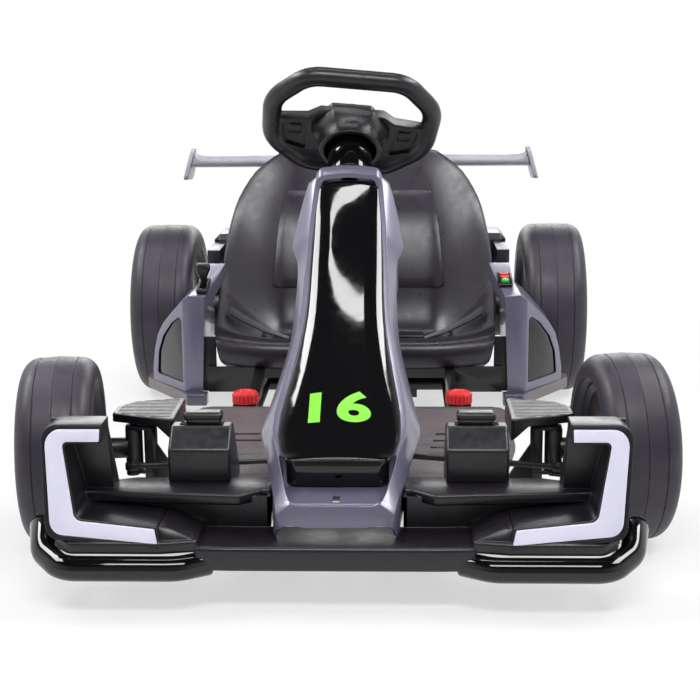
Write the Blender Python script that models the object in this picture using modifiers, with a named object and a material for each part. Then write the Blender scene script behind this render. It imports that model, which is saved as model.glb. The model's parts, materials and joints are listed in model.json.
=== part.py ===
"""Children's electric drift kart, in metres, +Z up, front towards -Y, +X to the driver's left.

The origin lies on the ground below the middle of the kart. Front pieces are modelled from the
front axle's ground point and rear pieces from the rear axle's ground point.
"""

import math

import bmesh
import bpy
from mathutils import Matrix, Vector

# Overall layout
WHEELBASE = 0.780
FRONT_OVERHANG = 0.265
REAR_OVERHANG = 0.175
FRONT_AXLE_Y = (FRONT_OVERHANG - WHEELBASE - REAR_OVERHANG) / 2
REAR_AXLE_Y = FRONT_AXLE_Y + WHEELBASE
SEAT_GAP = 0.0003
PARKED_STEER = math.radians(6.3)
PARKED_HANDWHEEL = math.radians(7.6)

# Wheels
FRONT_TYRE_RADIUS = 0.117
FRONT_TYRE_WIDTH = 0.090
REAR_TYRE_RADIUS = 0.149
REAR_TYRE_WIDTH = 0.104
FRONT_RIM_RADIUS = 0.079
REAR_RIM_RADIUS = 0.096
FRONT_HALF_TRACK = 0.350
REAR_HALF_TRACK = 0.338
STUB_RADIUS = 0.008
REAR_AXLE_RADIUS = 0.010
HUB_HALF_LENGTH = 0.026
WHEEL_STEPS = 20

# Steering
KINGPIN_X = 0.262
KINGPIN_RADIUS = 0.005
BARREL_RADIUS = 0.011
BARREL_BOTTOM = 0.090
BARREL_TOP = 0.142
YOKE_CLEARANCE = 0.003
EAR_THICKNESS = 0.004
STEERING_ARM = 0.032
STEERING_ARM_Z = 0.092
ARM_THICKNESS = 0.006
ARM_COVER_THICKNESS = 0.0105
ARM_COVER_BELLY = 0.018
ROD_RADIUS = 0.004
ROD_EYE_RADIUS = 0.0095
ROD_PIN_RADIUS = 0.004
COLUMN_TILT = math.radians(46.0)
COLUMN_FOOT = Vector((0.0, -0.008, 0.0825))
COLUMN_LENGTH = 0.5756
COLUMN_RADIUS = 0.010
PITMAN_LENGTH = 0.0252
PITMAN_EYE_BORE = 0.0065
PITMAN_EYE_RADIUS = 0.0115
PITMAN_PIN_RADIUS = 0.003
BEARING_RADIUS = 0.016
BEARING_TOP = COLUMN_LENGTH - 0.1716
COLLAR_LOW = COLUMN_LENGTH - 0.1021
COLLAR_TOP = COLUMN_LENGTH - 0.0406
HANDWHEEL_HALF_WIDTH = 0.117
HANDWHEEL_HALF_HEIGHT = 0.0935
HANDWHEEL_TUBE = 0.014
HUB_DEPTH = 0.045
HUB_SKIRT_RADIUS = 0.045
HUB_SKIRT_BORE = 0.0375
COLLAR_RADIUS = 0.0315
SLEEVE_RADIUS = 0.0125
COLLAR_STEPS = 16

# Chassis tubes and plates
BEAM_RADIUS = 0.0125
BEAM_Z = 0.060
RAIL_X = 0.155
FRONT_RAIL_RADIUS = 0.011
REAR_RAIL_RADIUS = 0.015
FRONT_RAIL_END = 0.450
FLOOR_TOP = 0.085
FLOOR_THICKNESS = 0.007
FLOOR_FRONT = -0.025
FLOOR_REAR = 0.322
FLOOR_FRONT_HALF = 0.200
FLOOR_REAR_HALF = 0.226
RAIL_Z = FLOOR_TOP - FLOOR_THICKNESS - SEAT_GAP - FRONT_RAIL_RADIUS
STUB_X = 0.100
STUB_Z = 0.058
STUB_TUBE_RADIUS = 0.009
CROSS_RADIUS = 0.011
CLAMP_Y = 0.345 - WHEELBASE
CLAMP_TOP = 0.0857
KNOB_X = 0.160
KNOB_RADIUS = 0.020
KNOB_HEIGHT = 0.017
KNOB_STUD_RADIUS = 0.004
KNOB_STUD_LENGTH = 0.0055

# Front bumper
LIP_HALF = 0.155
LIP_FRONT = -0.245
LIP_BOTTOM = 0.047
LIP_TOP = 0.075
RECESS_WALL_Y = -0.175
RECESS_WALL_OUTER_Y = -0.158
SHELF_TOP = 0.117
SHELF_THICKNESS = 0.013
SHELF_REAR = -0.120
BUMPER_HALF = 0.328
NOSE_SLOT_HALF = 0.0785
LIGHT_TOP_Z = 0.190
LIGHT_TOP_Y = -0.200
LIGHT_LEAN = 0.4
LIGHT_THICKNESS = 0.004
LIGHT_POCKET = 0.003
GUARD_RADIUS = 0.014
GUARD_Z = 0.052
GUARD_FRONT = -0.2465

# Nose fairing
NOSE_FRONT = -0.140
NOSE_END = 0.300
NOSE_WALL = 0.003
NOSE_CROWN = 0.016
TRAY_Z = 0.1195

# Pedals
PEDAL_X = 0.1605
PEDAL_HOUSING_WIDTH = 0.072
PEDAL_WALL = 0.003
PEDAL_HINGE = Vector((0.0, -0.050, 0.102))
PEDAL_PLATE_WIDTH = 0.058
PEDAL_HEAD_WIDTH = 0.045

# Rear pieces, from the rear axle
MOTOR_RADIUS = 0.030
GEARBOX_RADIUS = 0.052
GEARBOX_OUTER = REAR_HALF_TRACK - 0.0645
HOOP_Y = 0.090
COVER_TOP = 0.278
COVER_BOTTOM = 0.215
COVER_HALF = REAR_HALF_TRACK - REAR_TYRE_WIDTH / 2 - 0.024
COVER_WALL = 0.003
WING_Y = 0.130
WING_Z = 0.391
WING_CHORD = 0.082
WING_THICKNESS = 0.020
WING_HALF = 0.285
SEAT_WALL = 0.005
SEAT_APRON_TOP = 0.1085
SEAT_APRON_HALF = 0.2345
POD_FRONT = -0.300
POD_REAR = -0.168
POD_BOTTOM = 0.067
STRIP_SLOPE = math.radians(13.4)


# Scene, frames and materials

def clear_scene():
    for item in list(bpy.data.objects):
        bpy.data.objects.remove(item)


def new_collection(name):
    group = bpy.data.collections.new(name)
    bpy.context.scene.collection.children.link(group)
    return group


def linear(channel):
    """One sRGB channel, 0 to 1, as a linear value."""
    if channel <= 0.04045:
        return channel / 12.92
    return ((channel + 0.055) / 1.055) ** 2.4


def material(name, colour, roughness, metallic=0.0):
    """A Principled material from an sRGB hex colour, made once."""
    found = bpy.data.materials.get(name)
    if found:
        return found
    made = bpy.data.materials.new(name)
    made.use_nodes = True
    shader = made.node_tree.nodes["Principled BSDF"]
    channels = [linear(int(colour[i:i + 2], 16) / 255) for i in (0, 2, 4)]
    shader.inputs["Base Color"].default_value = (*channels, 1.0)
    shader.inputs["Roughness"].default_value = roughness
    shader.inputs["Metallic"].default_value = metallic
    return made


def moulded_black():
    return material("moulded_black", "202124", 0.55)


def gloss_black():
    return material("gloss_black", "08080A", 0.08)


def fairing_grey():
    return material("fairing_grey", "4A4C52", 0.32)


def seat_black():
    return material("seat_black", "2A2A2E", 0.42)


def floor_grey():
    return material("floor_grey", "3A383A", 0.60)


def lens_white():
    return material("lens_white", "E4E6EC", 0.25)


def tyre_black():
    return material("tyre_black", "1B1B20", 0.48)


def frame_steel():
    return material("frame_steel", "17171A", 0.30, 0.4)


def bright_steel():
    return material("bright_steel", "B4B6B8", 0.30, 1.0)


def knob_red():
    return material("knob_red", "D8221E", 0.40)


def wing_grey():
    return material("wing_grey", "9A9DA3", 0.40)


def cover_navy():
    return material("cover_navy", "1C2030", 0.40)


def sill_brown():
    return material("sill_brown", "4D4846", 0.55)


def belt_black():
    return material("belt_black", "141416", 0.80)


def button_green():
    return material("button_green", "2FC25A", 0.30)


def frame_empty(name, location, parent=None, rotation=None):
    """An empty that carries pieces and gives them their axes."""
    empty = bpy.data.objects.new(name, None)
    PARTS.objects.link(empty)
    empty.parent = parent
    empty.matrix_local = Matrix.Translation(location) @ (rotation or Matrix.Identity(4))
    return empty


def add(name, mesh, parent, finish=None, place=None):
    """Link a mesh as a part with its finish, or as a hidden tool without one."""
    item = bpy.data.objects.new(name, mesh)
    item.parent = parent
    if place:
        mesh.transform(place)
    if finish:
        PARTS.objects.link(item)
        mesh.materials.append(finish)
    else:
        TOOLS.objects.link(item)
        item.hide_render = True
        item.display_type = "WIRE"
    return item


# Mesh builders

def to_mesh(shape, name):
    mesh = bpy.data.meshes.new(name)
    shape.to_mesh(mesh)
    shape.free()
    return mesh


def smooth(mesh, angle=35.0):
    mesh.shade_smooth()
    mesh.set_sharp_from_angle(angle=math.radians(angle))
    return mesh


def box(low, high):
    """A box between two corners."""
    size = [b - a for a, b in zip(low, high)]
    centre = [(a + b) / 2 for a, b in zip(low, high)]
    shape = bmesh.new()
    placed = Matrix.Translation(centre) @ Matrix.Diagonal((*size, 1.0))
    bmesh.ops.create_cube(shape, size=1.0, matrix=placed)
    return to_mesh(shape, "box")


def rod(start, end, radius, sides=10):
    """A round bar between two points."""
    start = Vector(start)
    end = Vector(end)
    along = end - start
    turn = Vector((0, 0, 1)).rotation_difference(along).to_matrix().to_4x4()
    shape = bmesh.new()
    bmesh.ops.create_cone(
        shape, cap_ends=True, segments=sides, radius1=radius, radius2=radius, depth=along.length,
        matrix=Matrix.Translation((start + end) / 2) @ turn)
    return smooth(to_mesh(shape, "rod"))


def curve_mesh(curve):
    """The welded mesh of a curve, which is removed."""
    item = bpy.data.objects.new("curve", curve)
    TOOLS.objects.link(item)
    graph = bpy.context.evaluated_depsgraph_get()
    mesh = bpy.data.meshes.new_from_object(item.evaluated_get(graph))
    bpy.data.objects.remove(item)
    shape = bmesh.new()
    shape.from_mesh(mesh)
    bmesh.ops.remove_doubles(shape, verts=shape.verts, dist=0.00001)
    bmesh.ops.recalc_face_normals(shape, faces=shape.faces)
    shape.to_mesh(mesh)
    shape.free()
    return mesh


def poly_curve(points, kind, closed):
    curve = bpy.data.curves.new("route", "CURVE")
    curve.dimensions = kind
    spline = curve.splines.new("POLY")
    spline.points.add(len(points) - 1)
    for slot, point in zip(spline.points, points):
        slot.co = (*point, 1.0) if len(point) == 3 else (*point, 0.0, 1.0)
    spline.use_cyclic_u = closed
    return curve


def tube(points, radius, resolution=4, closed=False):
    """A round tube along a route."""
    curve = poly_curve(points, "3D", closed)
    curve.bevel_depth = radius
    curve.bevel_resolution = resolution
    curve.use_fill_caps = not closed
    return smooth(curve_mesh(curve), 50.0)


def plate(outline, low, high):
    """A flat outline in X and Y as a solid between two heights."""
    curve = poly_curve(outline, "2D", True)
    curve.fill_mode = "BOTH"
    curve.extrude = (high - low) / 2
    mesh = curve_mesh(curve)
    mesh.transform(Matrix.Translation((0, 0, (high + low) / 2)))
    return mesh


def upright(outline, near, far):
    """A flat outline in X and Z as a solid between two Y values."""
    mesh = plate(outline, -far, -near)
    mesh.transform(Matrix.Rotation(math.pi / 2, 4, "X"))
    return mesh


def profile_across(outline, low, high):
    """A flat outline in Y and Z as a solid between two X values."""
    mesh = plate(outline, low, high)
    axes = Matrix(((0, 0, 1, 0), (1, 0, 0, 0), (0, 1, 0, 0), (0, 0, 0, 1)))
    mesh.transform(axes)
    return mesh


def loft(rings):
    """A closed solid through rings with equal counts of points."""
    shape = bmesh.new()
    levels = [[shape.verts.new(point) for point in ring] for ring in rings]
    count = len(levels[0])
    for lower, upper in zip(levels, levels[1:]):
        for i in range(count):
            j = (i + 1) % count
            shape.faces.new((lower[i], lower[j], upper[j], upper[i]))
    shape.faces.new(reversed(levels[0]))
    shape.faces.new(levels[-1])
    bmesh.ops.recalc_face_normals(shape, faces=shape.faces)
    return smooth(to_mesh(shape, "loft"))


def turned(name, profile, steps, parent, finish=None, closed=False):
    """A profile of radius and height turned about the parent's Z axis."""
    shape = bmesh.new()
    points = [shape.verts.new((radius, 0.0, height)) for radius, height in profile]
    for first, second in zip(points, points[1:]):
        shape.edges.new((first, second))
    if closed:
        shape.edges.new((points[-1], points[0]))
    item = add(name, to_mesh(shape, name), parent, finish)
    screw = item.modifiers.new("Turn", "SCREW")
    screw.steps = steps
    screw.render_steps = steps
    screw.use_merge_vertices = True
    screw.merge_threshold = 0.00001
    screw.use_smooth_shade = True
    return item


# Outlines

def running_bore(radius, sides):
    """The radius of a bore with flats that a turning pin clears by the seat gap."""
    return (radius + SEAT_GAP) / math.cos(math.pi / sides)


def arc(centre, radius, start, end, steps):
    """Points of an arc, angles in degrees."""
    points = []
    for i in range(steps + 1):
        angle = math.radians(start + (end - start) * i / steps)
        points.append((centre[0] + radius * math.cos(angle), centre[1] + radius * math.sin(angle)))
    return points


def rounded(corners, steps=2):
    """An outline from corners (x, y, radius), each rounded by an arc that touches its sides."""
    points = []
    count = len(corners)
    for i, (x, y, radius) in enumerate(corners):
        here = Vector((x, y))
        if radius == 0:
            points.append((x, y))
            continue
        before = (Vector(corners[i - 1][:2]) - here).normalized()
        after = (Vector(corners[(i + 1) % count][:2]) - here).normalized()
        half = before.angle(after) / 2
        reach = radius / math.tan(half)
        centre = here + (before + after).normalized() * (radius / math.sin(half))
        first = here + before * reach - centre
        last = here + after * reach - centre
        sweep = first.angle_signed(last)
        for k in range(steps + 1):
            turn = Matrix.Rotation(-sweep * k / steps, 2)
            points.append(tuple(centre + turn @ first))
    return points


def mirrored(half):
    """A whole outline from its +X half, listed from the front middle to the rear middle."""
    return half + [(-x, y) for x, y in reversed(half)]


def capsule(x_low, x_high, y, width, steps=4):
    """A slot outline with round ends along X."""
    radius = width / 2
    right = arc((x_high - radius, y), radius, -90, 90, steps)
    left = arc((x_low + radius, y), radius, 90, 270, steps)
    return right + left


# Modifiers

def combine(target, operation, tools):
    for tool in tools:
        change = target.modifiers.new(operation.title(), "BOOLEAN")
        change.operation = operation
        change.solver = "EXACT"
        change.object = tool


def join(target, *tools):
    combine(target, "UNION", tools)


def cut(target, *tools):
    combine(target, "DIFFERENCE", tools)


def mirror(item):
    """Cut the piece at the middle plane and copy its +X half across."""
    change = item.modifiers.new("Mirror", "MIRROR")
    change.use_bisect_axis[0] = True
    change.merge_threshold = 0.00005
    return item


def bevel(item, width, segments=2, angle=40.0):
    change = item.modifiers.new("Bevel", "BEVEL")
    change.width = width
    change.segments = segments
    change.limit_method = "ANGLE"
    change.angle_limit = math.radians(angle)
    return item


def tool(mesh, parent, place=None):
    return add("tool", mesh, parent, None, place)


def flip(mesh):
    """The same mesh on the other side of the middle plane."""
    copy = mesh.copy()
    copy.transform(Matrix.Diagonal((-1, 1, 1, 1)))
    copy.flip_normals()
    return copy


def sided(mesh, side):
    return mesh if side > 0 else flip(mesh)


SIDES = (("left", -1), ("right", 1))

# Wheels

def tyre_profile(radius, width, bore, shoulder, crown):
    """A tyre's section from its top bead down the tread and back up the bore."""
    half = width / 2
    bead = width * 0.40
    upper = [(bore, bead), (bore + 0.006, half)]
    upper += arc((radius - shoulder - crown, half - shoulder), shoulder, 90, 10, 2)
    lower = [(r, -z) for r, z in reversed(upper)]
    return upper + [(radius, 0.0)] + lower


def rim_profile(radius, tyre_width, bore, recess):
    """A rim's section: outer dish with hub boss, barrel, inner disc with a ring ridge, bore."""
    lip = tyre_width * 0.38
    outer = HUB_HALF_LENGTH
    inner = tyre_width / 2 - recess
    return [
        (bore, outer), (bore + 0.010, outer), (radius - 0.014, outer - 0.010),
        (radius - 0.003, lip), (radius, -lip), (radius - 0.010, -inner),
        (radius * 0.55, -inner), (bore + 0.009, -HUB_HALF_LENGTH), (bore, -HUB_HALF_LENGTH)]


def wheel(name, parent, side, radius, width, rim_radius, bore, shoulder, crown):
    """A tyre and its rim on a spin frame whose Z axis points away from the kart."""
    turn = Matrix.Rotation(math.pi / 2 * side, 4, "Y")
    hub = frame_empty(name + "_spin", (0, 0, 0), parent, turn)
    section = tyre_profile(radius, width, rim_radius + SEAT_GAP, shoulder, crown)
    turned(name + "_tyre", section, WHEEL_STEPS, hub, tyre_black(), closed=True)
    section = rim_profile(rim_radius, width, bore, 0.016)
    turned(name + "_rim", section, WHEEL_STEPS, hub, moulded_black(), closed=True)


def front_wheel(name, side, knuckle):
    offset = (FRONT_HALF_TRACK - KINGPIN_X) * side
    spot = frame_empty(name + "_hub", (offset, 0, FRONT_TYRE_RADIUS), knuckle)
    wheel(name, spot, side, FRONT_TYRE_RADIUS, FRONT_TYRE_WIDTH, FRONT_RIM_RADIUS,
          STUB_RADIUS + SEAT_GAP, 0.020, 0.0015)


def rear_wheel(name, side, rear):
    spot = frame_empty(name + "_hub", (REAR_HALF_TRACK * side, 0, REAR_TYRE_RADIUS), rear)
    wheel(name, spot, side, REAR_TYRE_RADIUS, REAR_TYRE_WIDTH, REAR_RIM_RADIUS,
          REAR_AXLE_RADIUS + SEAT_GAP, 0.022, 0.001)


# Steering

def along_column(distance, up=0.0):
    """A point on the column axis, or above it towards the front."""
    axis = Vector((0.0, math.cos(COLUMN_TILT), math.sin(COLUMN_TILT)))
    normal = Vector((0.0, -math.sin(COLUMN_TILT), math.cos(COLUMN_TILT)))
    return COLUMN_FOOT + axis * distance + normal * up


def column_turn(angle=0.0):
    """Axes of the column: Z up the column to the driver, Y up the wheel, X to the driver's right."""
    tilt = Matrix.Rotation(COLUMN_TILT - math.pi / 2, 4, "X")
    return tilt @ Matrix.Rotation(math.pi + angle, 4, "Z")


def steering_shaft(wheel_frame):
    """The column with the pitman plate and the pin that both tie rods hang on."""
    low = -COLUMN_LENGTH + 0.003
    shaft = add("steering_shaft", rod((0, 0, low - 0.0026), (0, 0, 0.004 - SEAT_GAP), COLUMN_RADIUS, 14),
                wheel_frame, frame_steel())
    arm = plate(arc((0, 0), 0.0135, 190, 350, 4) + arc((0, PITMAN_LENGTH), 0.008, 10, 170, 4),
                low - 0.002, low + 0.004)
    pin_low = (0, PITMAN_LENGTH, low)
    pin_high = (0, PITMAN_LENGTH, low + 0.0235)
    join(shaft, tool(arm, wheel_frame), tool(rod(pin_low, pin_high, PITMAN_PIN_RADIUS, 9), wheel_frame))
    return shaft


def handwheel_path():
    """The centre line of the rim: flat top, cut upper corners, round lower half."""
    wide = HANDWHEEL_HALF_WIDTH
    high = HANDWHEEL_HALF_HEIGHT
    corners = [
        (wide * 0.56, high, 0.030), (wide, high * 0.42, 0.034), (wide * 0.98, -high * 0.45, 0.060),
        (wide * 0.52, -high, 0.050), (-wide * 0.52, -high, 0.050), (-wide * 0.98, -high * 0.45, 0.060),
        (-wide, high * 0.42, 0.034), (-wide * 0.56, high, 0.030)]
    return [(x, y, 0.0) for x, y in rounded(corners, 2)]


def steering_wheel(wheel_frame):
    """The rim with its spoke plate, which fills the lower part and leaves the hand gap above."""
    rim = add("steering_wheel", tube(handwheel_path(), HANDWHEEL_TUBE, 2, closed=True),
              wheel_frame, moulded_black())
    wide = HANDWHEEL_HALF_WIDTH
    high = HANDWHEEL_HALF_HEIGHT
    half = [(0.050, -high), (0.060, -0.055), (0.085, -0.040), (wide, -0.032), (wide, 0.012),
            (0.064, 0.018), (0.046, 0.036)]
    spokes = plate(half + [(-x, y) for x, y in reversed(half)], -0.008, 0.008)
    join(rim, tool(spokes, wheel_frame))
    bolt_hole = rod((0, 0, -0.02), (0, 0, 0.004), COLUMN_RADIUS + SEAT_GAP, 14)
    cut(rim, tool(bolt_hole, wheel_frame))
    return rim


def hex_ring(half_width, half_height, height, roundness, count=18):
    """A ring between a hexagon with points to the sides and a circle."""
    points = []
    for i in range(count):
        angle = 2 * math.pi * i / count
        sector = (angle + math.pi / 6) % (math.pi / 3) - math.pi / 6
        hexagon = math.cos(math.pi / 6) / math.cos(math.pi / 6 - abs(sector))
        reach = hexagon + (1.0 - hexagon) * roundness
        points.append((half_width * reach * math.cos(angle), half_height * reach * math.sin(angle), height))
    return points


def hub_cover(wheel_frame):
    """The six-sided boss behind the wheel that narrows to a round skirt over the collar."""
    top = -0.008 - SEAT_GAP
    rings = [
        hex_ring(0.058, 0.046, top, 0.0), hex_ring(0.056, 0.045, top - 0.016, 0.1),
        hex_ring(0.046, 0.045, top - 0.030, 0.8),
        hex_ring(HUB_SKIRT_RADIUS, HUB_SKIRT_RADIUS, top - HUB_DEPTH, 1.0)]
    cover = add("hub_cover", loft(rings), wheel_frame, moulded_black())
    pocket = rod((0, 0, top - HUB_DEPTH - 0.01), (0, 0, top - 0.012), HUB_SKIRT_BORE, 16)
    bore = rod((0, 0, top - 0.02), (0, 0, top + 0.01), COLUMN_RADIUS + SEAT_GAP, 14)
    cut(cover, tool(pocket, wheel_frame), tool(bore, wheel_frame))
    return cover


def hub_pad(wheel_frame):
    """The soft-edged pad on the driver's side."""
    low = 0.008 + SEAT_GAP
    corners = [(0.030, 0.028, 0.006), (0.046, 0.0, 0.006), (0.030, -0.034, 0.006),
               (-0.030, -0.034, 0.006), (-0.046, 0.0, 0.006), (-0.030, 0.028, 0.006)]
    pad = add("hub_pad", plate(rounded(corners, 2), low, low + 0.014), wheel_frame, moulded_black())
    return bevel(pad, 0.003, 1)


def knuckle(side_name, side, front):
    """Barrel, steering arm with its pin, stub axle with collar and nut, about the kingpin."""
    turn = Matrix.Rotation(PARKED_STEER, 4, "Z")
    pivot = frame_empty(side_name + "_kingpin", (KINGPIN_X * side, 0, 0), front, turn)
    body = add(side_name + "_knuckle", rod((0, 0, BARREL_BOTTOM), (0, 0, BARREL_TOP), BARREL_RADIUS),
               pivot, frame_steel())
    reach = FRONT_HALF_TRACK - KINGPIN_X
    z = FRONT_TYRE_RADIUS
    collar_end = reach - HUB_HALF_LENGTH - SEAT_GAP
    nut = reach + HUB_HALF_LENGTH + SEAT_GAP
    stub = rod((0.006 * side, 0, z), ((nut + 0.006) * side, 0, z), STUB_RADIUS)
    collar = rod((0.007 * side, 0, z), (collar_end * side, 0, z), STUB_RADIUS + 0.005)
    nut_body = rod((nut * side, 0, z), ((nut + 0.008) * side, 0, z), STUB_RADIUS + 0.005, 6)
    arm_top = STEERING_ARM_Z + ARM_THICKNESS
    arm = plate(arc((0, -STEERING_ARM), 0.008, 180, 360, 4) + [(0.006, -0.012), (0.006, 0), (-0.006, 0),
                                                               (-0.006, -0.012)],
                STEERING_ARM_Z, arm_top)
    pin = rod((0, -STEERING_ARM, STEERING_ARM_Z + 0.001), (0, -STEERING_ARM, arm_top + 0.010),
              ROD_PIN_RADIUS, 8)
    join(body, *(tool(mesh, pivot) for mesh in (stub, collar, nut_body, arm, pin)))
    bore = rod((0, 0, BARREL_BOTTOM - 0.01), (0, 0, BARREL_TOP + 0.01), running_bore(KINGPIN_RADIUS, 8), 8)
    cut(body, tool(bore, pivot))
    return pivot


def tie_rod(side_name, side, pivot, wheel_frame_matrix):
    """A rod from the steering arm's pin to a wide eye round the pitman pin."""
    turn = Matrix.Rotation(-PARKED_STEER, 4, "Z")
    joint = frame_empty(side_name + "_rod_pivot", (0, -STEERING_ARM, 0), pivot, turn)
    low = STEERING_ARM_Z + ARM_THICKNESS + SEAT_GAP
    middle = Vector((0, 0, low + ROD_RADIUS))
    parked = Matrix.Rotation(PARKED_STEER, 3, "Z") @ Vector((0, -STEERING_ARM, 0))
    origin = Vector((KINGPIN_X * side, 0, 0)) + parked
    lift = 0.0135 if side < 0 else 0.0225
    centre = wheel_frame_matrix @ Vector((0, PITMAN_LENGTH, -COLUMN_LENGTH + lift))
    axis = (wheel_frame_matrix.to_3x3() @ Vector((0, 0, 1))) * 0.0025
    eye = centre - origin
    toward = (eye - middle).normalized()
    start = middle + toward * ROD_PIN_RADIUS
    end = eye - toward * PITMAN_EYE_BORE
    body = add(side_name + "_tie_rod", rod(start, end, ROD_RADIUS, 8), joint, frame_steel())
    outer = rod((0, 0, low), (0, 0, low + 2 * ROD_RADIUS), ROD_EYE_RADIUS, 10)
    inner = rod(eye - axis, eye + axis, PITMAN_EYE_RADIUS, 10)
    join(body, tool(outer, joint), tool(inner, joint))
    outer_bore = rod((0, 0, low - 0.01), (0, 0, low + 0.02), running_bore(ROD_PIN_RADIUS, 8), 8)
    inner_bore = rod(eye - axis * 4, eye + axis * 4, PITMAN_EYE_BORE, 10)
    cut(body, tool(outer_bore, joint), tool(inner_bore, joint))


# Front chassis

def kingpin_yoke(front):
    """Right-hand post, ears, bolt and gusset of the axle beam."""
    low_ear = (BARREL_BOTTOM - SEAT_GAP - EAR_THICKNESS, BARREL_BOTTOM - SEAT_GAP)
    high_ear = (BARREL_TOP + SEAT_GAP, BARREL_TOP + SEAT_GAP + EAR_THICKNESS)
    post_x = KINGPIN_X - BARREL_RADIUS - YOKE_CLEARANCE
    ear = arc((KINGPIN_X, 0), BARREL_RADIUS, -90, 90, 3) + [(post_x - 0.010, 0.011), (post_x - 0.010, -0.011)]
    post = box((post_x - 0.014, -0.0085, BEAM_Z - 0.006), (post_x, 0.0085, high_ear[1]))
    bolt = rod((KINGPIN_X, 0, low_ear[0] - 0.004), (KINGPIN_X, 0, high_ear[1] + 0.004), KINGPIN_RADIUS, 8)
    gusset = upright([(0.196, BEAM_Z + 0.004), (post_x - 0.004, BEAM_Z + 0.004),
                      (post_x - 0.004, 0.138)], -0.003, 0.003)
    return [tool(mesh, front) for mesh in (post, plate(ear, *low_ear), plate(ear, *high_ear), bolt, gusset)]


def column_support(front):
    """Foot plate, lower bearing, sloping support tube and upper bearing of the column."""
    foot = profile_across([(0.0, BEAM_Z - 0.006), (0.034, BEAM_Z - 0.006), (0.034, 0.090),
                           (0.031, 0.0955), (0.020, 0.0955), (0.006, BEAM_Z + 0.004),
                           (0.0, BEAM_Z + 0.004)], -0.012, 0.012)
    lower = rod(along_column(0.028), along_column(0.040), BEARING_RADIUS, 12)
    post_low = Vector((0, 0.045, RAIL_Z))
    post_high = along_column(BEARING_TOP + 0.001, -0.0285)
    post = rod(post_low, post_high, FRONT_RAIL_RADIUS, 10)
    cross = rod((-RAIL_X, 0.045, RAIL_Z), (RAIL_X, 0.045, RAIL_Z), FRONT_RAIL_RADIUS - 0.001, 8)
    upper = rod(along_column(BEARING_TOP - 0.014), along_column(BEARING_TOP), BEARING_RADIUS, 12)
    web = profile_across([tuple(along_column(s, up)[1:]) for s, up in
                          ((BEARING_TOP - 0.013, -0.012), (BEARING_TOP - 0.001, -0.012),
                           (BEARING_TOP - 0.001, -0.024), (BEARING_TOP - 0.013, -0.024))],
                         -0.006, 0.006)
    return [tool(mesh, front) for mesh in (foot, lower, cross, post, upper, web)]


def front_frame(front):
    """Axle beam, yokes, inner rails, bumper stubs and column support in one weldment."""
    beam_half = KINGPIN_X - BARREL_RADIUS - 0.008
    beam = rod((-0.02, 0, BEAM_Z), (beam_half, 0, BEAM_Z), BEAM_RADIUS)
    item = add("front_frame", beam, front, frame_steel())
    rail = rod((RAIL_X, -0.006, RAIL_Z), (RAIL_X, FRONT_RAIL_END, RAIL_Z), FRONT_RAIL_RADIUS)
    wall_y = RECESS_WALL_Y + 0.006
    stub = rod((STUB_X, 0.0, STUB_Z), (STUB_X, wall_y + SEAT_GAP, STUB_Z), STUB_TUBE_RADIUS, 8)
    join(item, tool(rail, front), tool(stub, front), *kingpin_yoke(front), *column_support(front))
    bore = rod(along_column(0.010), along_column(0.500), running_bore(COLUMN_RADIUS, 14), 14)
    cut(item, tool(bore, front))
    return mirror(item)


def floor_plate(front):
    """The foot plate with its cross slots and the notch that lets the column through."""
    low = FLOOR_TOP - FLOOR_THICKNESS
    corners = [
        (0.040, FLOOR_FRONT, 0.0), (FLOOR_FRONT_HALF, FLOOR_FRONT, 0.012),
        (FLOOR_REAR_HALF, 0.120, 0.060), (FLOOR_REAR_HALF, FLOOR_REAR, 0.020),
        (-FLOOR_REAR_HALF, FLOOR_REAR, 0.020), (-FLOOR_REAR_HALF, 0.120, 0.060),
        (-FLOOR_FRONT_HALF, FLOOR_FRONT, 0.012), (-0.040, FLOOR_FRONT, 0.0),
        (-0.040, 0.085, 0.0), (0.040, 0.085, 0.0)]
    item = add("floor_plate", plate(rounded(corners), low, FLOOR_TOP), front, floor_grey())
    slots = []
    for i in range(4):
        y = 0.078 + 0.032 * i
        slot = plate(capsule(0.104 + 0.004 * i, 0.176, y, 0.009, 1), low - 0.01, FLOOR_TOP + 0.01)
        slots += [tool(slot, front), tool(flip(slot), front)]
    cut(item, *slots)
    return item


# Front bumper and lights

def leaning(mesh):
    """Shear a plate in X and Z so that its front follows the lights' leaning plane."""
    shear = Matrix.Identity(4)
    shear[1][2] = LIGHT_LEAN
    shear[1][3] = LIGHT_TOP_Y - LIGHT_LEAN * LIGHT_TOP_Z
    mesh.transform(shear)
    return mesh


def light_outline(grow):
    """The C of the right-hand light, from its upper inner end round the outside and back."""
    return rounded([
        (0.261 - grow * 0.4, 0.181 - grow * 0.4, 0.0), (0.261 - grow * 0.4, 0.196 + grow, 0.0),
        (0.323 + grow, 0.196 + grow, 0.016), (0.311 + grow, 0.0895 - grow, 0.016),
        (0.193 - grow * 0.6, 0.0795 - grow, 0.0), (0.197 - grow * 0.6, 0.095 + grow * 0.4, 0.0),
        (0.282 - grow * 0.4, 0.104 + grow * 0.4, 0.010), (0.300 - grow * 0.4, 0.181 - grow * 0.4, 0.005)], 2)


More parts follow.
